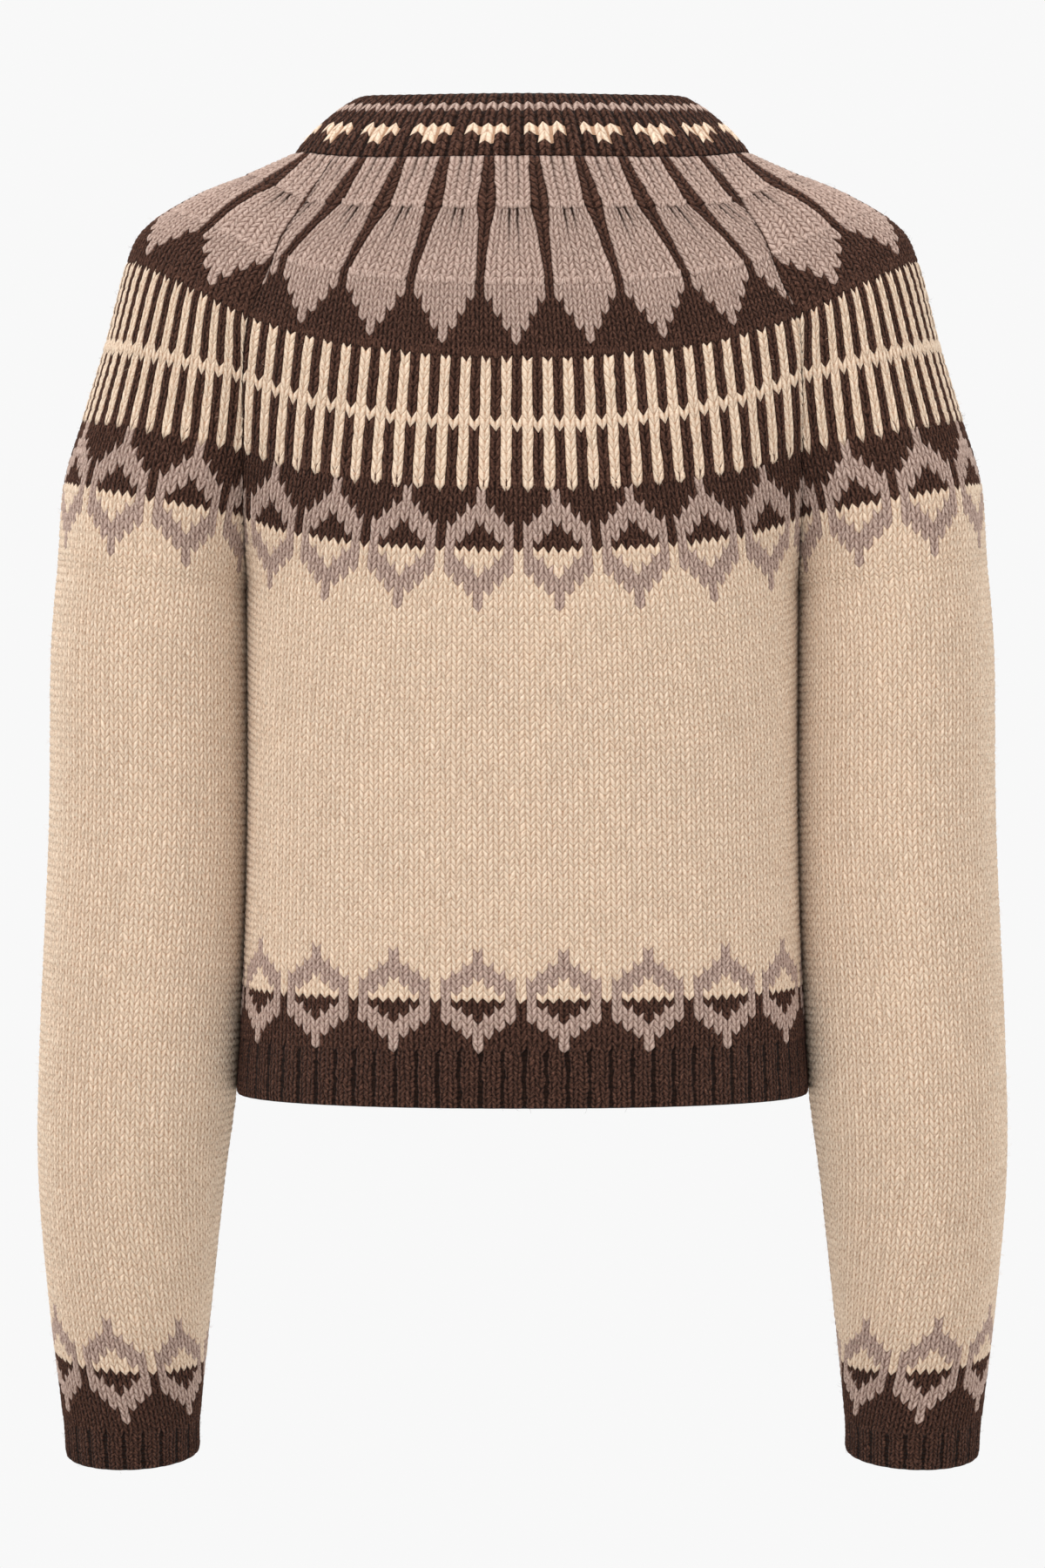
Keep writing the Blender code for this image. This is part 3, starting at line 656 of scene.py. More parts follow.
def wool(name):
    """Three-ply wool. Each leg of a stitch is a plump strand that leans across its cell, with twisted plies
    and fine fibres on it, a painted highlight along its back, and painted shade down beside it and in slits."""
    made, shader = principled(name, WOOL_FINISH)
    tree = made.node_tree
    new = Socket(tree)
    uv = new.node("ShaderNodeUVMap", uv_map="stitches")
    u = new.node("ShaderNodeSeparateXYZ", {0: uv}, 0)
    v = new.node("ShaderNodeSeparateXYZ", {0: uv}, 1)
    yarn = new.node("ShaderNodeAttribute", output=2, attribute_name="yarn") * 0.5
    inside = new.node("ShaderNodeAttribute", output=2, attribute_name="inside")
    s, t = u.math("FRACT"), v.math("FRACT")
    kind = u.math("FLOOR").math("FLOORED_MODULO", 4)
    is_purl = kind > 1.5
    is_right = (kind > 0.5) - is_purl
    inward = s + is_right * (1 - 2 * s)         # 0 at a leg's outer side, 1 in the middle of the V
    down = abs(2 * t - 1)
    lean = inward - 0.5 - GRAIN_LEAN * (t - 0.5)
    leg = (abs(lean) * 2.1) ** 2 + (down * 0.92) ** 4
    bar = (down * 1.1) ** 2 + ((2 * s - 1) * 0.8).math("ABSOLUTE") ** 4
    away = leg + is_purl * (bar - leg)          # 0 along a strand's back, 1 at its edge
    height = (1 - away).math("MAXIMUM", 0)
    # Painted shade: darker beside each strand, where rows overlap, and all over a rib's sunken purl cells.
    beside = ((abs(lean) - 0.29) * 4.5).math("MULTIPLY", 1, clamp=True) * (0.45 + 0.55 * down ** 2)
    between = ((down - 0.78) * 2.4).math("MULTIPLY", 1, clamp=True) * 0.6
    depth = new.node("ShaderNodeAttribute", output=2, attribute_name="depth") * SLIT_SHADE
    painted_gap_shade = beside.math("MAXIMUM", between) * (1 - is_purl) + is_purl * 0.85
    plies = 0.5 + 0.5 * (t * 12.0 - inward * 9.0).math("SINE")
    place = new.node("ShaderNodeTexCoord", output=3)
    fibre_at = {0: inward * 7 + u.math("FLOOR") * 3.7, 1: t * 2.4 + v * 1.3}
    fibre_at = new.node("ShaderNodeCombineXYZ", fibre_at)
    noise = "ShaderNodeTexNoise"
    fibres = new.node(noise, {"Vector": fibre_at, "Scale": 1.6, "Detail": 3.0, "Roughness": 0.7})
    flecks = new.node(noise, {"Vector": place, "Scale": 800.0, "Detail": 2.0, "Roughness": 0.6})
    cloud = new.node(noise, {"Vector": place, "Scale": 60.0, "Detail": 2.0})

    def by_yarn(which):
        """One of the three colours of the face's own yarn."""
        steps = ((0.0, "cream"), (0.25, "mauve"), (0.75, "brown"))
        stops = [(step, WOOL_COLORS[color][which]) for step, color in steps]
        made = new.node("ShaderNodeValToRGB", {0: yarn}, stops=stops)
        made.socket.node.color_ramp.interpolation = "CONSTANT"
        return made

    # pale gives the palest fibres and the painted highlight, deep the darkest fibres and the painted shade.
    own, pale, deep = by_yarn(0), by_yarn(1), by_yarn(2)
    light = (fibres - 0.5) * 3.4 + (flecks - 0.5) * (3.8 + 2.4 * yarn)
    color = own.mixed((light * 0.6).math("MULTIPLY", 1, clamp=True), pale)
    color = color.mixed((light * -0.6).math("MULTIPLY", 1, clamp=True), deep)
    # Painted highlight: each strand's back is mixed toward the pale colour, more on mauve and brown yarn.
    top = height * height * (0.1 + 0.22 * (yarn > 0.1))
    color = color.mixed(top.math("MULTIPLY", 1, clamp=True), pale)
    # The painted shade mixes the colour toward the yarn's deep colour.
    color = color.mixed((painted_gap_shade * (0.95 + 0.05 * (yarn > 0.1))).math("MULTIPLY", 1, clamp=True), deep)
    # Painted shade in slits and deep lines, by the cube of their depth.
    color = color.mixed((depth ** 3).math("MULTIPLY", 1, clamp=True), PAINTED_SLIT_SHADE_COLOR)
    shade = new.node("ShaderNodeValToRGB", {0: cloud}, stops=[(0.35, (0.8, 0.8, 0.8)), (0.65, (1, 1, 1))])
    color = color.mixed(0.25, shade, "MULTIPLY")
    tree.links.new(color.socket, shader.inputs["Base Color"])
    purl = 0.5 - 0.5 * (v * 6.2832).math("COSINE")
    face = height * (1 - inside) + purl * inside
    relief = face + plies * height * 0.25 + fibres * 0.45
    bump = new.node("ShaderNodeBump", {"Height": relief, "Strength": 1.0, "Distance": BUMP_DEPTH})
    tree.links.new(bump.socket, shader.inputs["Normal"])
    return made


patterned_wool = wool("patterned_wool")
back = knitting.piece("knitted_back", [patterned_wool])
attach(back, "root")
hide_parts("back")

# ----------------------------------------------------------------------------------------------------------
# Fronts. Two panels like the back, with the same bands, whose pattern runs on round the side seams. They
# end in straight edges beside the button bands.

BAND_HALF = 0.016       # half the button bands' width
FINE = 400              # places tried along a row to find its end


def front_point(level, across):
    """The fronts: body_point in front, across from -1 at the wearer's left side to 1 at their right."""
    return body_point("front", level, across)


def front_edge(levels):
    """Where each row of the fronts meets the button band, as across."""
    fine = np.linspace(0, 1, FINE)
    return np.array([
        np.interp(BAND_HALF, front_point(np.full(FINE, level), fine)[:, 0], fine) for level in levels
    ])


for wearer_side, toward in (("right", 1), ("left", -1)):
    edge = front_edge(body_levels)
    if toward > 0:
        face = Surface(front_point, body_levels, 1, edge)
        centre = lambda level, face=face: face.length_at(level) + BAND_HALF
    else:
        face = Surface(front_point, body_levels, -edge, -1)
        centre = lambda level: -BAND_HALF
    knitting = Knitting()
    for band in BODY_BANDS:
        lowest, highest = band["numbers"]
        half = {**band, "numbers": (lowest, 0) if toward > 0 else (0, highest), "shift": ((0, 0), (1, 0))}
        knit_band(knitting, face, half, centre)
    front = knitting.piece("knitted_front_" + wearer_side, [patterned_wool])
    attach(front, "root")
    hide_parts("front_" + wearer_side)

# ----------------------------------------------------------------------------------------------------------
# Sleeves. One piece each, knitted from the cuff up, closed under the arm, and sewn to the body along the
# raglan seams. Their bands meet those of the body: feathers over the shoulder, stripes, leaves, then plain
# cream.

CUFF_TOP = 15           # stations go on from the yoke's levels down the arm
CUFF_END = 16
ARM_COLUMNS = ("station", "outer_x", "outer_z", "inner_x", "inner_z", "y", "depth", "tilt")
ARM = (
    (9, 0.2474, -0.2124, 0.1471, -0.2255, 0.000, 0.0650, 0.0),
    (9.4, 0.2497, -0.2365, 0.1467, -0.2500, 0.000, 0.0640, 0.0),
    (10, 0.2514, -0.2645, 0.1467, -0.2761, 0.000, 0.0625, 0.0),
    (11, 0.2528, -0.3530, 0.1467, -0.3610, 0.002, 0.0600, 0.0),
    (12, 0.2583, -0.4693, 0.1524, -0.4765, 0.004, 0.0580, 1.0),
    (13, 0.2596, -0.5398, 0.1610, -0.5460, 0.009, 0.0550, 3.0),
    (14, 0.2545, -0.6120, 0.1690, -0.6180, 0.017, 0.0490, 5.5),
    (15, 0.2487, -0.6700, 0.1745, -0.6720, 0.024, 0.0405, 7.0),
    (16, 0.2474, -0.6936, 0.1750, -0.6918, 0.027, 0.0380, 7.0),
)


def arm(column, station):
    """A column of the arm's table as a smooth function of the station."""
    return column_of(ARM, ARM_COLUMNS, column, station)


def sleeve_arc(station, around):
    """A yoke row of the right sleeve: an arc through the back seam B, the crest T and the front seam F,
    M + (T - M)(cos t - cos m)/(1 - cos m) + (B - F)/2 sin t / sin m, with M midway between B and F."""
    limit = np.radians(np.minimum(yoke("sleeve_angle", station), 179.5))
    angle = np.radians(yoke("sleeve_angle", station)) * around
    rise = ((np.cos(angle) - np.cos(limit)) / (1 - np.cos(limit)))[..., None]
    zero = 0 * station
    crest = np.stack([yoke("crest_x", station), zero, yoke("crest_z", station)], axis=-1)
    back_z = yoke("seam_back_z", station)
    front_z = yoke("seam_front_z", station)
    middle = np.stack([yoke("seam_x", station), zero, (back_z + front_z) / 2], axis=-1)
    depth = yoke("sleeve_depth", station) * np.sin(angle)
    seam_rise = (back_z - front_z) / 2 * np.sin(angle) / np.sin(limit)
    return middle + (crest - middle) * rise + np.stack([zero, -depth, seam_rise], axis=-1)


def sleeve_ring(station, around):
    """A ring of the right sleeve below the underarm: an ellipse between its outer and inner edge."""
    y = arm("y", station)
    outer = np.stack([arm("outer_x", station), y, arm("outer_z", station)], axis=-1)
    inner = np.stack([arm("inner_x", station), y, arm("inner_z", station)], axis=-1)
    lean = np.radians(arm("tilt", station))
    back = np.stack([0 * lean, -np.cos(lean), -np.sin(lean)], axis=-1) * arm("depth", station)[..., None]
    angle = (math.pi * around)[..., None]
    return (outer + inner) / 2 + (outer - inner) / 2 * np.cos(angle) + back * np.sin(angle)


def sleeve_point(station, around):
    """A point of the right sleeve's outer face. around runs from 1 at the back seam, over the crest at 0, to
    -1 at the front seam; under the arm the two seams have closed into one line."""
    in_yoke = np.minimum(station, UNDERARM)
    round_neck = math.pi / 2 - np.radians(yoke("sleeve_angle", 0)) * around
    at_neck = neck_ring(NECK_FOOT, round_neck) - sleeve_arc(0 * station, around)
    upper = sleeve_arc(in_yoke, around) + at_neck * near_neck(station)
    lower = sleeve_ring(np.maximum(station, UNDERARM), around)
    return np.where((station < UNDERARM)[..., None], upper, lower)


def left_sleeve_point(station, around):
    """The left sleeve: the right one with x turned round."""
    return sleeve_point(station, around) * np.array([-1, 1, 1])


SLEEVE_PLAIN_ROWS = 96
SLEEVE_BANDS = (
    {
        "chart": FEATHER_STEMS, "start": 2, "numbers": (-18, 18), "rows": ((0, 0), (8, 1.0)), "tuck": "",
        "width": ((0, 0.0063), (8, 0.0082)), "shift": ((0, 0.0185), (8, 0.0245)), "first": STEM_FIRST,
        "slits": (0.7, 0.6, 16),
    },
    {
        "chart": FEATHER_BLADES, "start": 3, "numbers": (-24, 24), "rows": ((0, 1.0), (11, 2.55)),
        "width": ((0, 0.0055), (11, 0.0075)), "shift": ((0, 0.0245), (11, 0.0333)), "first": BLADE_FIRST,
        "tuck": "chart", "slits": (1.0, 0.75, 7),
    },
    {
        "chart": FEATHER_TIPS, "start": 4, "numbers": (-28, 28), "rows": ((0, 2.55), (10, 4)),
        "width": ((0, 0.0056), (10, 0.00625)), "shift": ((0, 0.0333), (10, 0.0371)), "tuck": "chart",
    },
    {
        "chart": STRIPES, "start": 1, "numbers": (-32, 32), "rows": ((0, 4), (13, 6)),
        "width": ((0, 0.00426), (13, 0.00493)), "shift": ((0, 0), (1, 0)), "tuck": "B",
    },
    {
        "chart": LEAF + ("CCCCCCCC",) * SLEEVE_PLAIN_ROWS + LOWER_LEAF + ("BBBBBBBB",) * 2, "start": 0,
        "numbers": (-37, 37), "rows": ((0, 6), (14, 8), (110, 13.89), (124, 14.845), (126, 15)),
        "width": ((0, 0.0050), (14, 0.00525), (110, 0.0052), (126, 0.0051)),
        "shift": ((0, 0.008), (14, 0.008), (110, 0.0012)), "tuck": "B",
    },
)
sleeve_levels = np.concatenate([
    np.linspace(0, UNDERARM, 181), np.linspace(UNDERARM, CUFF_TOP + HANG, 121)[1:]
])
for wearer_side, toward in (("right", -1), ("left", 1)):
    if wearer_side == "right":
        face = Surface(sleeve_point, sleeve_levels, 1, -1, line=0.25)
    else:
        face = Surface(left_sleeve_point, sleeve_levels, -1, 1, line=0.75)
    knitting = Knitting()
    for band in SLEEVE_BANDS:
        knit_band(knitting, face, band, face.centre_at, toward)
    sleeve = knitting.piece("knitted_sleeve_" + wearer_side, [patterned_wool])
    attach(sleeve, "root")
    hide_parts("sleeve_" + wearer_side)

# ----------------------------------------------------------------------------------------------------------
# Ribs of the hem and cuffs. One knit, one purl, in the brown yarn, knitted on to each panel and cast off.

HEM_REPEAT = 0.0113
CUFF_REPEAT = 0.0103
RIB_ROW = 0.0027
RIB_TUCK = 0.0025       # how far a rib runs on up under its panel
RIB_RISE = 0.6          # a rib's strands stand out this much of what the panels' do

# One repeat of rib as (share of it, slant in rows, depth) for each line, and the kinds of cell between
# them. The plain rib has a deep line, a strand on each side of it, and a wale of upside-down Vs.
PLAIN_RIB = (
    ((0.0, 0.0, 0.0003), (0.16, 0.0, 0.0003), (0.33, 0.25, 0.0), (0.57, -0.55, 0.0), (0.81, 0.25, 0.0)),
    (PURL, LEFT, RIGHT, LEFT, RIGHT),
)


def knit_rib(knitting, surface, rows, repeat, rib=PLAIN_RIB, yarn_of=None):
    """Lays rib over a whole surface, in rows that are (row, level) pairs. yarn_of(row, wale) gives the yarn
    where it isn't brown."""
    count = rows[-1][0]
    repeats = round(surface.length.mean() / repeat)

    def place(line, row, height):
        """The point at a wale and a row, and whether it is inside the piece. Wales share a row's length."""
        level = surface.level_of_row(row, rows)
        length = surface.length_at(level)
        run = line / repeats * length
        kept = (line > -1e-6) & (line < repeats + 1e-6)
        return surface.place(level, np.clip(run, 0, length), height), kept

    number = np.arange(-1, repeats + 1)
    share, slant, depth = np.array(rib[0]).T
    position = (number[:, None] + share).ravel()
    kinds = np.tile(rib[1], len(number))[:-1]
    yarn = np.full((count, len(kinds)), YARNS["B"])
    if yarn_of:
        yarn = yarn_of(np.arange(count)[:, None], np.repeat(number, len(share))[None, :-1])
    lines = (position, np.tile(slant, len(number)), np.tile(depth, len(number)))
    knitting.lay(place, (0, count), lines, kinds, yarn, False, sink=TUCK, rise=RIB_RISE)


rib_levels = np.linspace(BODY_END - RIB_TUCK / (YOKE[-1][0] - HEM_RIB_TOP_Z), HEM, 31)
rib_edge = front_edge(rib_levels)
over_cuff = arm("outer_z", CUFF_TOP - 1) - arm("outer_z", CUFF_TOP)
cuff_levels = np.linspace(CUFF_TOP - RIB_TUCK / over_cuff, CUFF_END, 31)
ribs = (
    ("hem_rib_back", Surface(back_point, rib_levels, -1, 1), HEM_REPEAT, (0.41, 0.033)),
    ("hem_rib_front_right", Surface(front_point, rib_levels, 1, rib_edge), HEM_REPEAT, (0.195, 0.033)),
    ("hem_rib_front_left", Surface(front_point, rib_levels, -rib_edge, -1), HEM_REPEAT, (0.195, 0.033)),
    ("cuff_right", Surface(sleeve_point, cuff_levels, 1, -1), CUFF_REPEAT, (0.245, 0.026)),
    ("cuff_left", Surface(left_sleeve_point, cuff_levels, -1, 1), CUFF_REPEAT, (0.245, 0.026)),
)
for node, face, repeat, flat in ribs:
    knitting = Knitting()
    rows = round(face.depth[-1] / RIB_ROW)
    knit_rib(knitting, face, ((0, face.levels[0]), (rows, face.levels[-1])), repeat)
    rib = knitting.piece("knitted_" + node, [patterned_wool])
    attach(rib, "root")
    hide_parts(node)

# ----------------------------------------------------------------------------------------------------------
# Neckband. A doubled 1x1 rib, knitted on round the neck, whose stitches stand on their heads. It has a
# mauve row under its top edge and small cream figures below that.

NECK_TOP = {
    "half_width": 0.0900, "half_depth": 0.0525, "y": 0.0025, "z": 0.0350, "side_rise": 0.005, "drop": 0.064
}
NECK_BULGE = 0.0020
NECK_REPEAT = 0.0071
NECK_ROWS = ((0, 0.0), (3, 0.28), (5, 0.53), (7, 0.79), (9, 1.0))
NECK_RIB = (((0.08, 0.35, 0.0003), (0.50, -0.15, 0.0), (0.92, 0.35, 0.0003)), (RIGHT, LEFT, PURL))


def neckband_point(up, angle):
    """A point of the neckband's outer face. up runs from 0 at its foot to 1 at its top edge, and between
    them it bulges by a parabola."""
    foot = neck_ring(NECK_FOOT, angle)
    top = neck_ring(NECK_TOP, angle)
    out = np.stack([np.sin(angle), -np.cos(angle), 0.6 + 0 * angle], axis=-1)
    up = np.asarray(up)[..., None]
    return foot + (top - foot) * up + out * NECK_BULGE * 4 * up * (1 - up)


def neckband_yarn(row, wale):
    """A mauve row under the edge, then cream figures: two stitches on every fourth wale, and one on each of
    those beside it."""
    in_repeat = (wale + 2) % 4
    figure = ((row == 5) & (in_repeat != 0)) | ((row == 6) & (in_repeat == 2))
    return np.where(row == 2, YARNS["M"], np.where(figure, YARNS["C"], YARNS["B"]))


neck_levels = np.linspace(0, 1, 41)
half_turn = np.linspace(math.pi / 2, math.pi, FINE)
neck_end = np.array([
    np.interp(-BAND_HALF, -neckband_point(np.full(FINE, 1 - level), half_turn)[:, 0], half_turn)
    for level in neck_levels
])
face = Surface(lambda level, angle: neckband_point(1 - level, angle), neck_levels, -neck_end, neck_end)
knitting = Knitting()
knit_rib(knitting, face, NECK_ROWS, NECK_REPEAT, NECK_RIB, neckband_yarn)
neckband = knitting.piece("knitted_neckband", [patterned_wool])
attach(neckband, "root")
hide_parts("neckband")

# ----------------------------------------------------------------------------------------------------------
# Button bands. Two strips of the brown rib along the opening, from the neckband's top edge to the hem; the
# wearer's right band lies over the left one.

BAND_REPEAT = 0.0080
BAND_STEP = 0.0034      # from one band's face to the other's
SEAM = 0.0004           # the gap between the two bands, and under a button
BAND_SAG = 0.0007
NECK_SHARE = 12         # points of the front line along the neckband
neck_line = neckband_point(np.linspace(1, 0, NECK_SHARE), np.full(NECK_SHARE, math.pi))[:, 1:]
front_z = np.linspace(NECK_FOOT["z"] - NECK_FOOT["drop"], HEM_Z, 120)[1:]
front_line = np.concatenate([neck_line, np.stack([body("front", front_z), front_z], axis=-1)])
slope = np.gradient(front_line, axis=0)
front_out = np.stack([-slope[:, 1], slope[:, 0]], axis=-1) / np.linalg.norm(slope, axis=1, keepdims=True)
line_run = np.concatenate([[0], np.cumsum(np.linalg.norm(np.diff(front_line, axis=0), axis=1))])


def band_point(middle_offset):
    """The outer face of a button band as a function of the distance down it and of x. It is tilted, so that
    its seamed edge is flush with its front and its free edge stands out."""
    def point(down, x):
        """A point of the front line, moved out by the band's offset, its tilt and a parabola."""
        yz, out = (np.stack([np.interp(down, line_run, t[:, k]) for k in (0, 1)], axis=-1)
                   for t in (front_line, front_out))
        offset = middle_offset - BAND_STEP / 2 * x / BAND_HALF - BAND_SAG * (x / BAND_HALF) ** 2
        return np.concatenate([x[..., None], yz + out * offset[..., None]], axis=-1)
    return point


for wearer_side, offset in (("right", (SEAM + BAND_STEP) / 2), ("left", (SEAM - BAND_STEP) / 2)):
    face = Surface(band_point(offset), np.linspace(0, line_run[-1], 161), BAND_HALF, -BAND_HALF)
    knitting = Knitting()
    knit_rib(knitting, face, ((0, 0), (round(line_run[-1] / RIB_ROW), line_run[-1])), BAND_REPEAT)
    button_band = knitting.piece("knitted_button_band_" + wearer_side, [patterned_wool])
    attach(button_band, "root")
    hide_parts("button_band_" + wearer_side)

# ----------------------------------------------------------------------------------------------------------
# Buttons. Seven turned discs of horn-like resin with a rim, a dish and four holes, drawn as discs of
# painted shade, each sewn on through them with a cross of brown thread.

BUTTON_COUNT = 7
BUTTON_RADIUS = 0.0090
BUTTON_THICK = 0.0036
BUTTON_FIRST = 0.020    # from the bands' top edge to the first button's middle
BUTTON_LAST = 0.016     # and from the last one's to the hem
HOLE_RADIUS = 0.0009
HOLE_OUT = 0.0024       # the holes' distance from the middle
HOLE_LIFT = 0.00005     # a hole's dark disc of painted shade shows this far over the button's dish
HOLE_SIDES = 16
THREAD = 0.0005         # the thread's radius, and how far it bows out
THREAD_BOW = 0.0007
# The section, from the middle of the front round the rim to the middle of the back, as (radius, height).
BUTTON_SECTION = (
    (0.0, 0.0009), (0.0045, 0.0009), (0.0060, 0.0012), (0.0068, 0.0018), (0.0078, 0.0018), (0.0087, 0.0013),
    (0.0090, 0.0004), (0.0088, -0.0008), (0.0070, -0.0016), (0.0045, -0.0018), (0.0, -0.0018),
)
BUTTON_SIDES = 48


def between_rings(rings, sides, first=0):
    """The numbers of the points of closed rings, counted from first, and the faces between the rings."""
    index = first + np.arange(rings * sides).reshape(rings, sides)
    after = np.roll(index, -1, axis=1)
    faces = np.stack([index[:-1], index[1:], after[1:], after[:-1]], axis=2).reshape(-1, 4)
    return index, faces.tolist()


def turned(section, sides):
    """Points and faces of a section turned about z, its first and last points on the axis."""
    radius, height = np.array(section[1:-1]).T
    angle = np.arange(sides) * 2 * math.pi / sides
    radius, height = radius[:, None], height[:, None]
    ring = np.stack([radius * np.cos(angle), radius * np.sin(angle), height + 0 * angle], axis=2)
    points = np.concatenate([[(0, 0, section[0][1])], ring.reshape(-1, 3), [(0, 0, section[-1][1])]])
    index, faces = between_rings(len(radius), sides, first=1)
    top, foot = index[0].tolist(), index[-1].tolist()
    faces += [(0, a, b) for a, b in zip(top, top[1:] + top[:1])]
    faces += [(len(points) - 1, b, a) for a, b in zip(foot, foot[1:] + foot[:1])]
    return points, faces


def tube(path, radius, sides=8):
    """A closed tube along a path of points in a plane through z."""
    path = np.array(path, float)
    along = np.gradient(path, axis=0)
    along /= np.linalg.norm(along, axis=1, keepdims=True)
    across = np.cross(along[0], (0, 0, 1.0))
    across = across / np.linalg.norm(across)
    angle = np.arange(sides) * 2 * math.pi / sides
    up = np.cross(across, along)
    ring = across * np.cos(angle)[:, None, None] + up * np.sin(angle)[:, None, None]
    points = (path + radius * ring).transpose(1, 0, 2)
    index, faces = between_rings(len(path), sides)
    return points.reshape(-1, 3), faces + [index[0].tolist()[::-1], index[-1].tolist()]


horn, shader = principled("horn_button", {"Roughness": 0.32})
new = Socket(horn.node_tree)
place = new.node("ShaderNodeTexCoord", output=3)
veins = new.node("ShaderNodeTexNoise", {"Vector": place, "Scale": 220.0, "Detail": 3.0})
horn_stops = [(0.35, linear(52, 32, 22)), (0.7, linear(104, 72, 50))]
tone = new.node("ShaderNodeValToRGB", {0: veins}, stops=horn_stops)
horn.node_tree.links.new(tone.socket, shader.inputs["Base Color"])
thread, _ = principled("brown_thread", {"Base Color": (*linear(70, 47, 38), 1), "Roughness": 0.9})
# The holes' painted shade: a near-black material on the discs over the dish.
dark, _ = principled("hole_shade", {"Base Color": (0.006, 0.004, 0.003, 1)})

disc, disc_faces = turned(BUTTON_SECTION, BUTTON_SIDES)
hole_top = BUTTON_SECTION[0][1] + HOLE_LIFT
hole_section = ((0, hole_top), (HOLE_RADIUS, hole_top), (HOLE_RADIUS, 0), (0, 0))
hole_points, hole_faces = turned(hole_section, HOLE_SIDES)
parts = [(disc, disc_faces, 0)]
quarter = HOLE_OUT / math.sqrt(2)
for x, y in ((1, 1), (-1, 1), (-1, -1), (1, -1)):
    parts.append((hole_points + (x * quarter, y * quarter, 0), hole_faces, 1))
    if y > 0:
        along = np.linspace(-1, 1, 9)
        bow = along[:, None] * (x * quarter, y * quarter, 0)
        lift = hole_top + THREAD_BOW * (1 - along ** 2) - THREAD / 2
        parts.append((*tube(bow + np.stack([0 * lift, 0 * lift, lift], axis=1), THREAD), 2))

over = (SEAM + BAND_STEP) / 2 + SEAM + BUTTON_THICK / 2 + BUTTON_RADIUS * BAND_STEP / (2 * BAND_HALF)
for number, down in enumerate(np.linspace(BUTTON_FIRST, line_run[-1] - BUTTON_LAST, BUTTON_COUNT), start=1):
    y, z = (np.interp(down, line_run, front_line[:, k]) for k in (0, 1))
    out_y, out_z = (np.interp(down, line_run, front_out[:, k]) for k in (0, 1))
    points, faces, slots, count = [], [], [], 0
    for part_points, part_faces, slot in parts:
        points.append(part_points)
        faces += [[i + count for i in face] for face in part_faces]
        slots += [slot] * len(part_faces)
        count += len(part_points)
    local = np.concatenate(points)
    side, high = np.array([-1.0, 0, 0]), np.array([0, -out_z, out_y])
    placed = local @ np.array([side, high, [0, out_y, out_z]]) + (0, y + out_y * over, z + out_z * over)
    mesh = bpy.data.meshes.new(f"button_{number}_turned")
    mesh.from_pydata(placed.tolist(), [], faces)
    for material in (horn, dark, thread):
        mesh.materials.append(material)
    mesh.polygons.foreach_set("material_index", slots)
    mesh.polygons.foreach_set("use_smooth", [True] * len(slots))
    button = bpy.data.objects.new(mesh.name, mesh)
    bpy.context.scene.collection.objects.link(button)
    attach(button, "root")
    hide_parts(f"button_{number}")

# ----------------------------------------------------------------------------------------------------------
# Fuzz. Loose fibres of the wool that stand a little off its face all over and bend back to it.

FIBRES_PER_AREA = 24000         # a square metre of outer face
FIBRE_LENGTH = (0.0015, 0.0045)
FIBRE_HEIGHT = (0.0005, 0.0018)
FIBRE_BOW = 0.0006
FIBRE_HALF = 0.00005            # half its width at its root
FIBRE_STEPS = np.array([0.0, 0.35, 0.7, 1.0])


def fibres_on(piece, count):
    """Ribbons from random stitches of a piece: their points (fibre, step, side, 3), and each one's yarn. A
    ribbon runs along the cloth, rises and falls as a sine, bows by a square, and narrows to its tip."""
    mesh = piece.data
    size = len(mesh.polygons)
    centre, normal, yarn, inside = np.empty(3 * size), np.empty(3 * size), np.empty(size), np.empty(size)
    mesh.polygons.foreach_get("center", centre)
    mesh.polygons.foreach_get("normal", normal)
    mesh.attributes["yarn"].data.foreach_get("value", yarn)
    mesh.attributes["inside"].data.foreach_get("value", inside)
    picked = chance.choice(np.flatnonzero(inside < 0.5), count)
    out = normal.reshape(-1, 3)[picked]
    along = chance.normal(size=(count, 3))
    along -= out * np.sum(along * out, axis=1, keepdims=True)
    along /= np.linalg.norm(along, axis=1, keepdims=True)
    length = chance.uniform(*FIBRE_LENGTH, (count, 1))
    height = chance.uniform(*FIBRE_HEIGHT, (count, 1))
    side = np.cross(out, along)
    bow = chance.normal(0, FIBRE_BOW, (count, 1))
    t = FIBRE_STEPS[None, :, None]
    rise = height[:, None] * np.sin(math.pi * 0.85 * t)
    root = centre.reshape(-1, 3)[picked][:, None]
    path = root + along[:, None] * length[:, None] * t + out[:, None] * rise + (side * bow)[:, None] * t**2
    half = FIBRE_HALF * (1 - 0.7 * t)
    return np.stack([path - side[:, None] * half, path + side[:, None] * half], axis=2), yarn[picked]


knitted = [obj for obj in bpy.data.objects if obj.name.startswith("knitted_")]
ribbons, yarns = [], []
for piece in knitted:
    outer_area = sum(face.area for face in piece.data.polygons) / 2
    made, yarn = fibres_on(piece, round(outer_area * FIBRES_PER_AREA))
    ribbons.append(made)
    yarns.append(yarn)
ribbons, yarns = np.concatenate(ribbons), np.concatenate(yarns)
steps = len(FIBRE_STEPS)
first = np.arange(len(ribbons))[:, None] * steps * 2 + np.arange(steps - 1) * 2
quads = np.stack([first, first + 1, first + 3, first + 2], axis=2).reshape(-1, 4)
mesh = bpy.data.meshes.new("wool_fuzz")
mesh.from_pydata(ribbons.reshape(-1, 3).tolist(), [], quads.tolist())
mesh.uv_layers.new(name="stitches").uv.foreach_set("vector", np.full(8 * len(quads), 0.5, np.float32))
made = mesh.attributes.new("yarn", "FLOAT", "FACE")
made.data.foreach_set("value", np.repeat(yarns, steps - 1).astype(np.float32))
mesh.materials.append(patterned_wool)
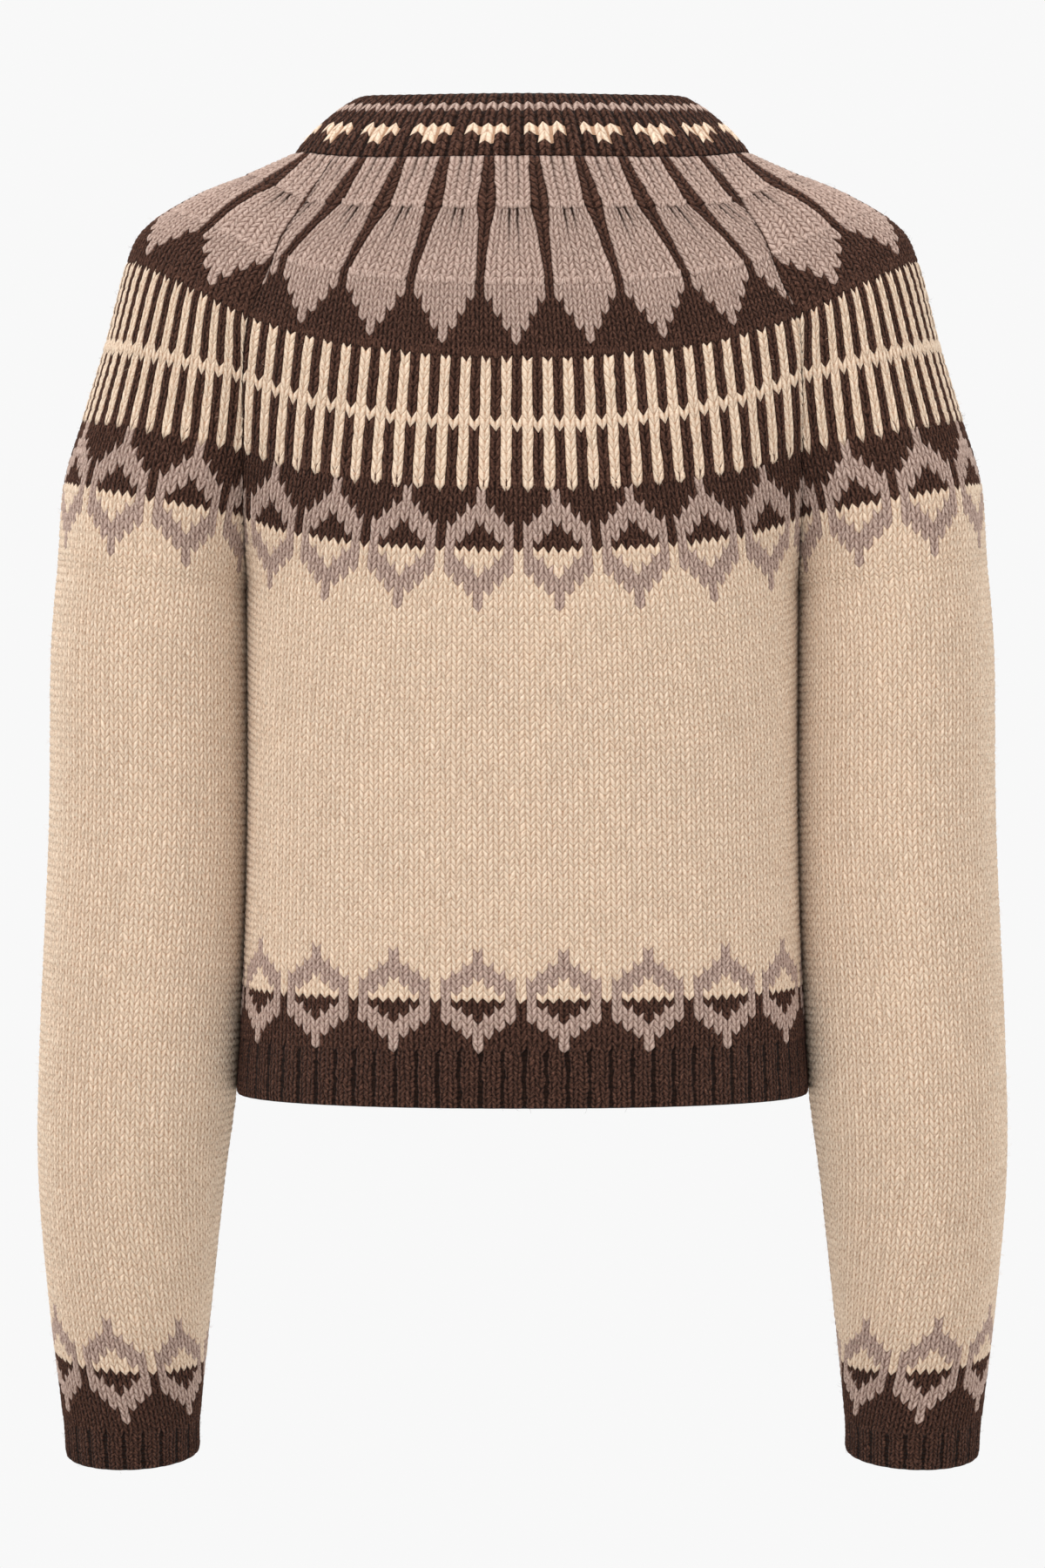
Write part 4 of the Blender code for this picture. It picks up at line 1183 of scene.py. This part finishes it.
fuzz = bpy.data.objects.new("wool_fuzz", mesh)
bpy.context.scene.collection.objects.link(fuzz)
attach(fuzz, "root")

# ----------------------------------------------------------------------------------------------------------
# Studio: a pale floor far under the cloth, soft light from all round, and the camera behind the wearer.

CAMERA_AWAY = 3.0
CAMERA_Z = -0.2133
FRAME_MIDDLE_Z = -0.3297
FRAME_HEIGHT = 0.8379
SENSOR = 36.0
camera_data = bpy.data.cameras.new("camera")
camera_data.sensor_width = SENSOR
camera_data.lens = SENSOR * CAMERA_AWAY / FRAME_HEIGHT
camera = bpy.data.objects.new("camera", camera_data)
camera.location = (0, -CAMERA_AWAY, CAMERA_Z)
camera.rotation_euler = (math.pi / 2 + math.atan2(FRAME_MIDDLE_Z - CAMERA_Z, CAMERA_AWAY), 0, 0)
bpy.context.scene.collection.objects.link(camera)
bpy.context.scene.camera = camera
bpy.context.scene.view_settings.view_transform = "Standard"

FLOOR_Z = -1.3
bpy.ops.mesh.primitive_circle_add(vertices=96, radius=2.8, fill_type="NGON", location=(0, 0, FLOOR_Z))
floor = bpy.context.object
floor.name = "floor"
pale, _ = principled("pale_floor", {"Base Color": (0.72, 0.71, 0.70, 1), "Roughness": 0.9})
floor.data.materials.append(pale)

world = bpy.data.worlds.new("soft_light")
world.use_nodes = True
sky = Socket(world.node_tree)
upward = sky.node("ShaderNodeSeparateXYZ", {0: sky.node("ShaderNodeTexCoord")}, 2)
sky_stops = [(0.1, (0.35, 0.34, 0.33)), (0.38, (1, 1, 1))]
glow = sky.node("ShaderNodeValToRGB", {0: upward * 0.5 + 0.5}, stops=sky_stops)
world.node_tree.links.new(glow.socket, world.node_tree.nodes["Background"].inputs["Color"])
world.node_tree.nodes["Background"].inputs["Strength"].default_value = 0.94
bpy.context.scene.world = world

LIGHT_SIZE = 2.0
for name, place, aim, power in (
    ("key", (-1.4, -2.0, 2.3), (0, 0, -0.2), 69),
    ("fill", (1.9, -2.2, 1.3), (0, 0, -0.3), 22),
    ("back_light", (0.4, 2.6, 1.5), (0, 0, -0.3), 16),
):
    light = bpy.data.lights.new(name, "AREA")
    light.size = LIGHT_SIZE
    light.energy = power
    lamp = bpy.data.objects.new(name, light)
    lamp.location = place
    away = np.array(place) - np.array(aim)
    lamp.rotation_euler = (math.acos(away[2] / np.linalg.norm(away)), 0, math.atan2(away[0], -away[1]))
    bpy.context.scene.collection.objects.link(lamp)
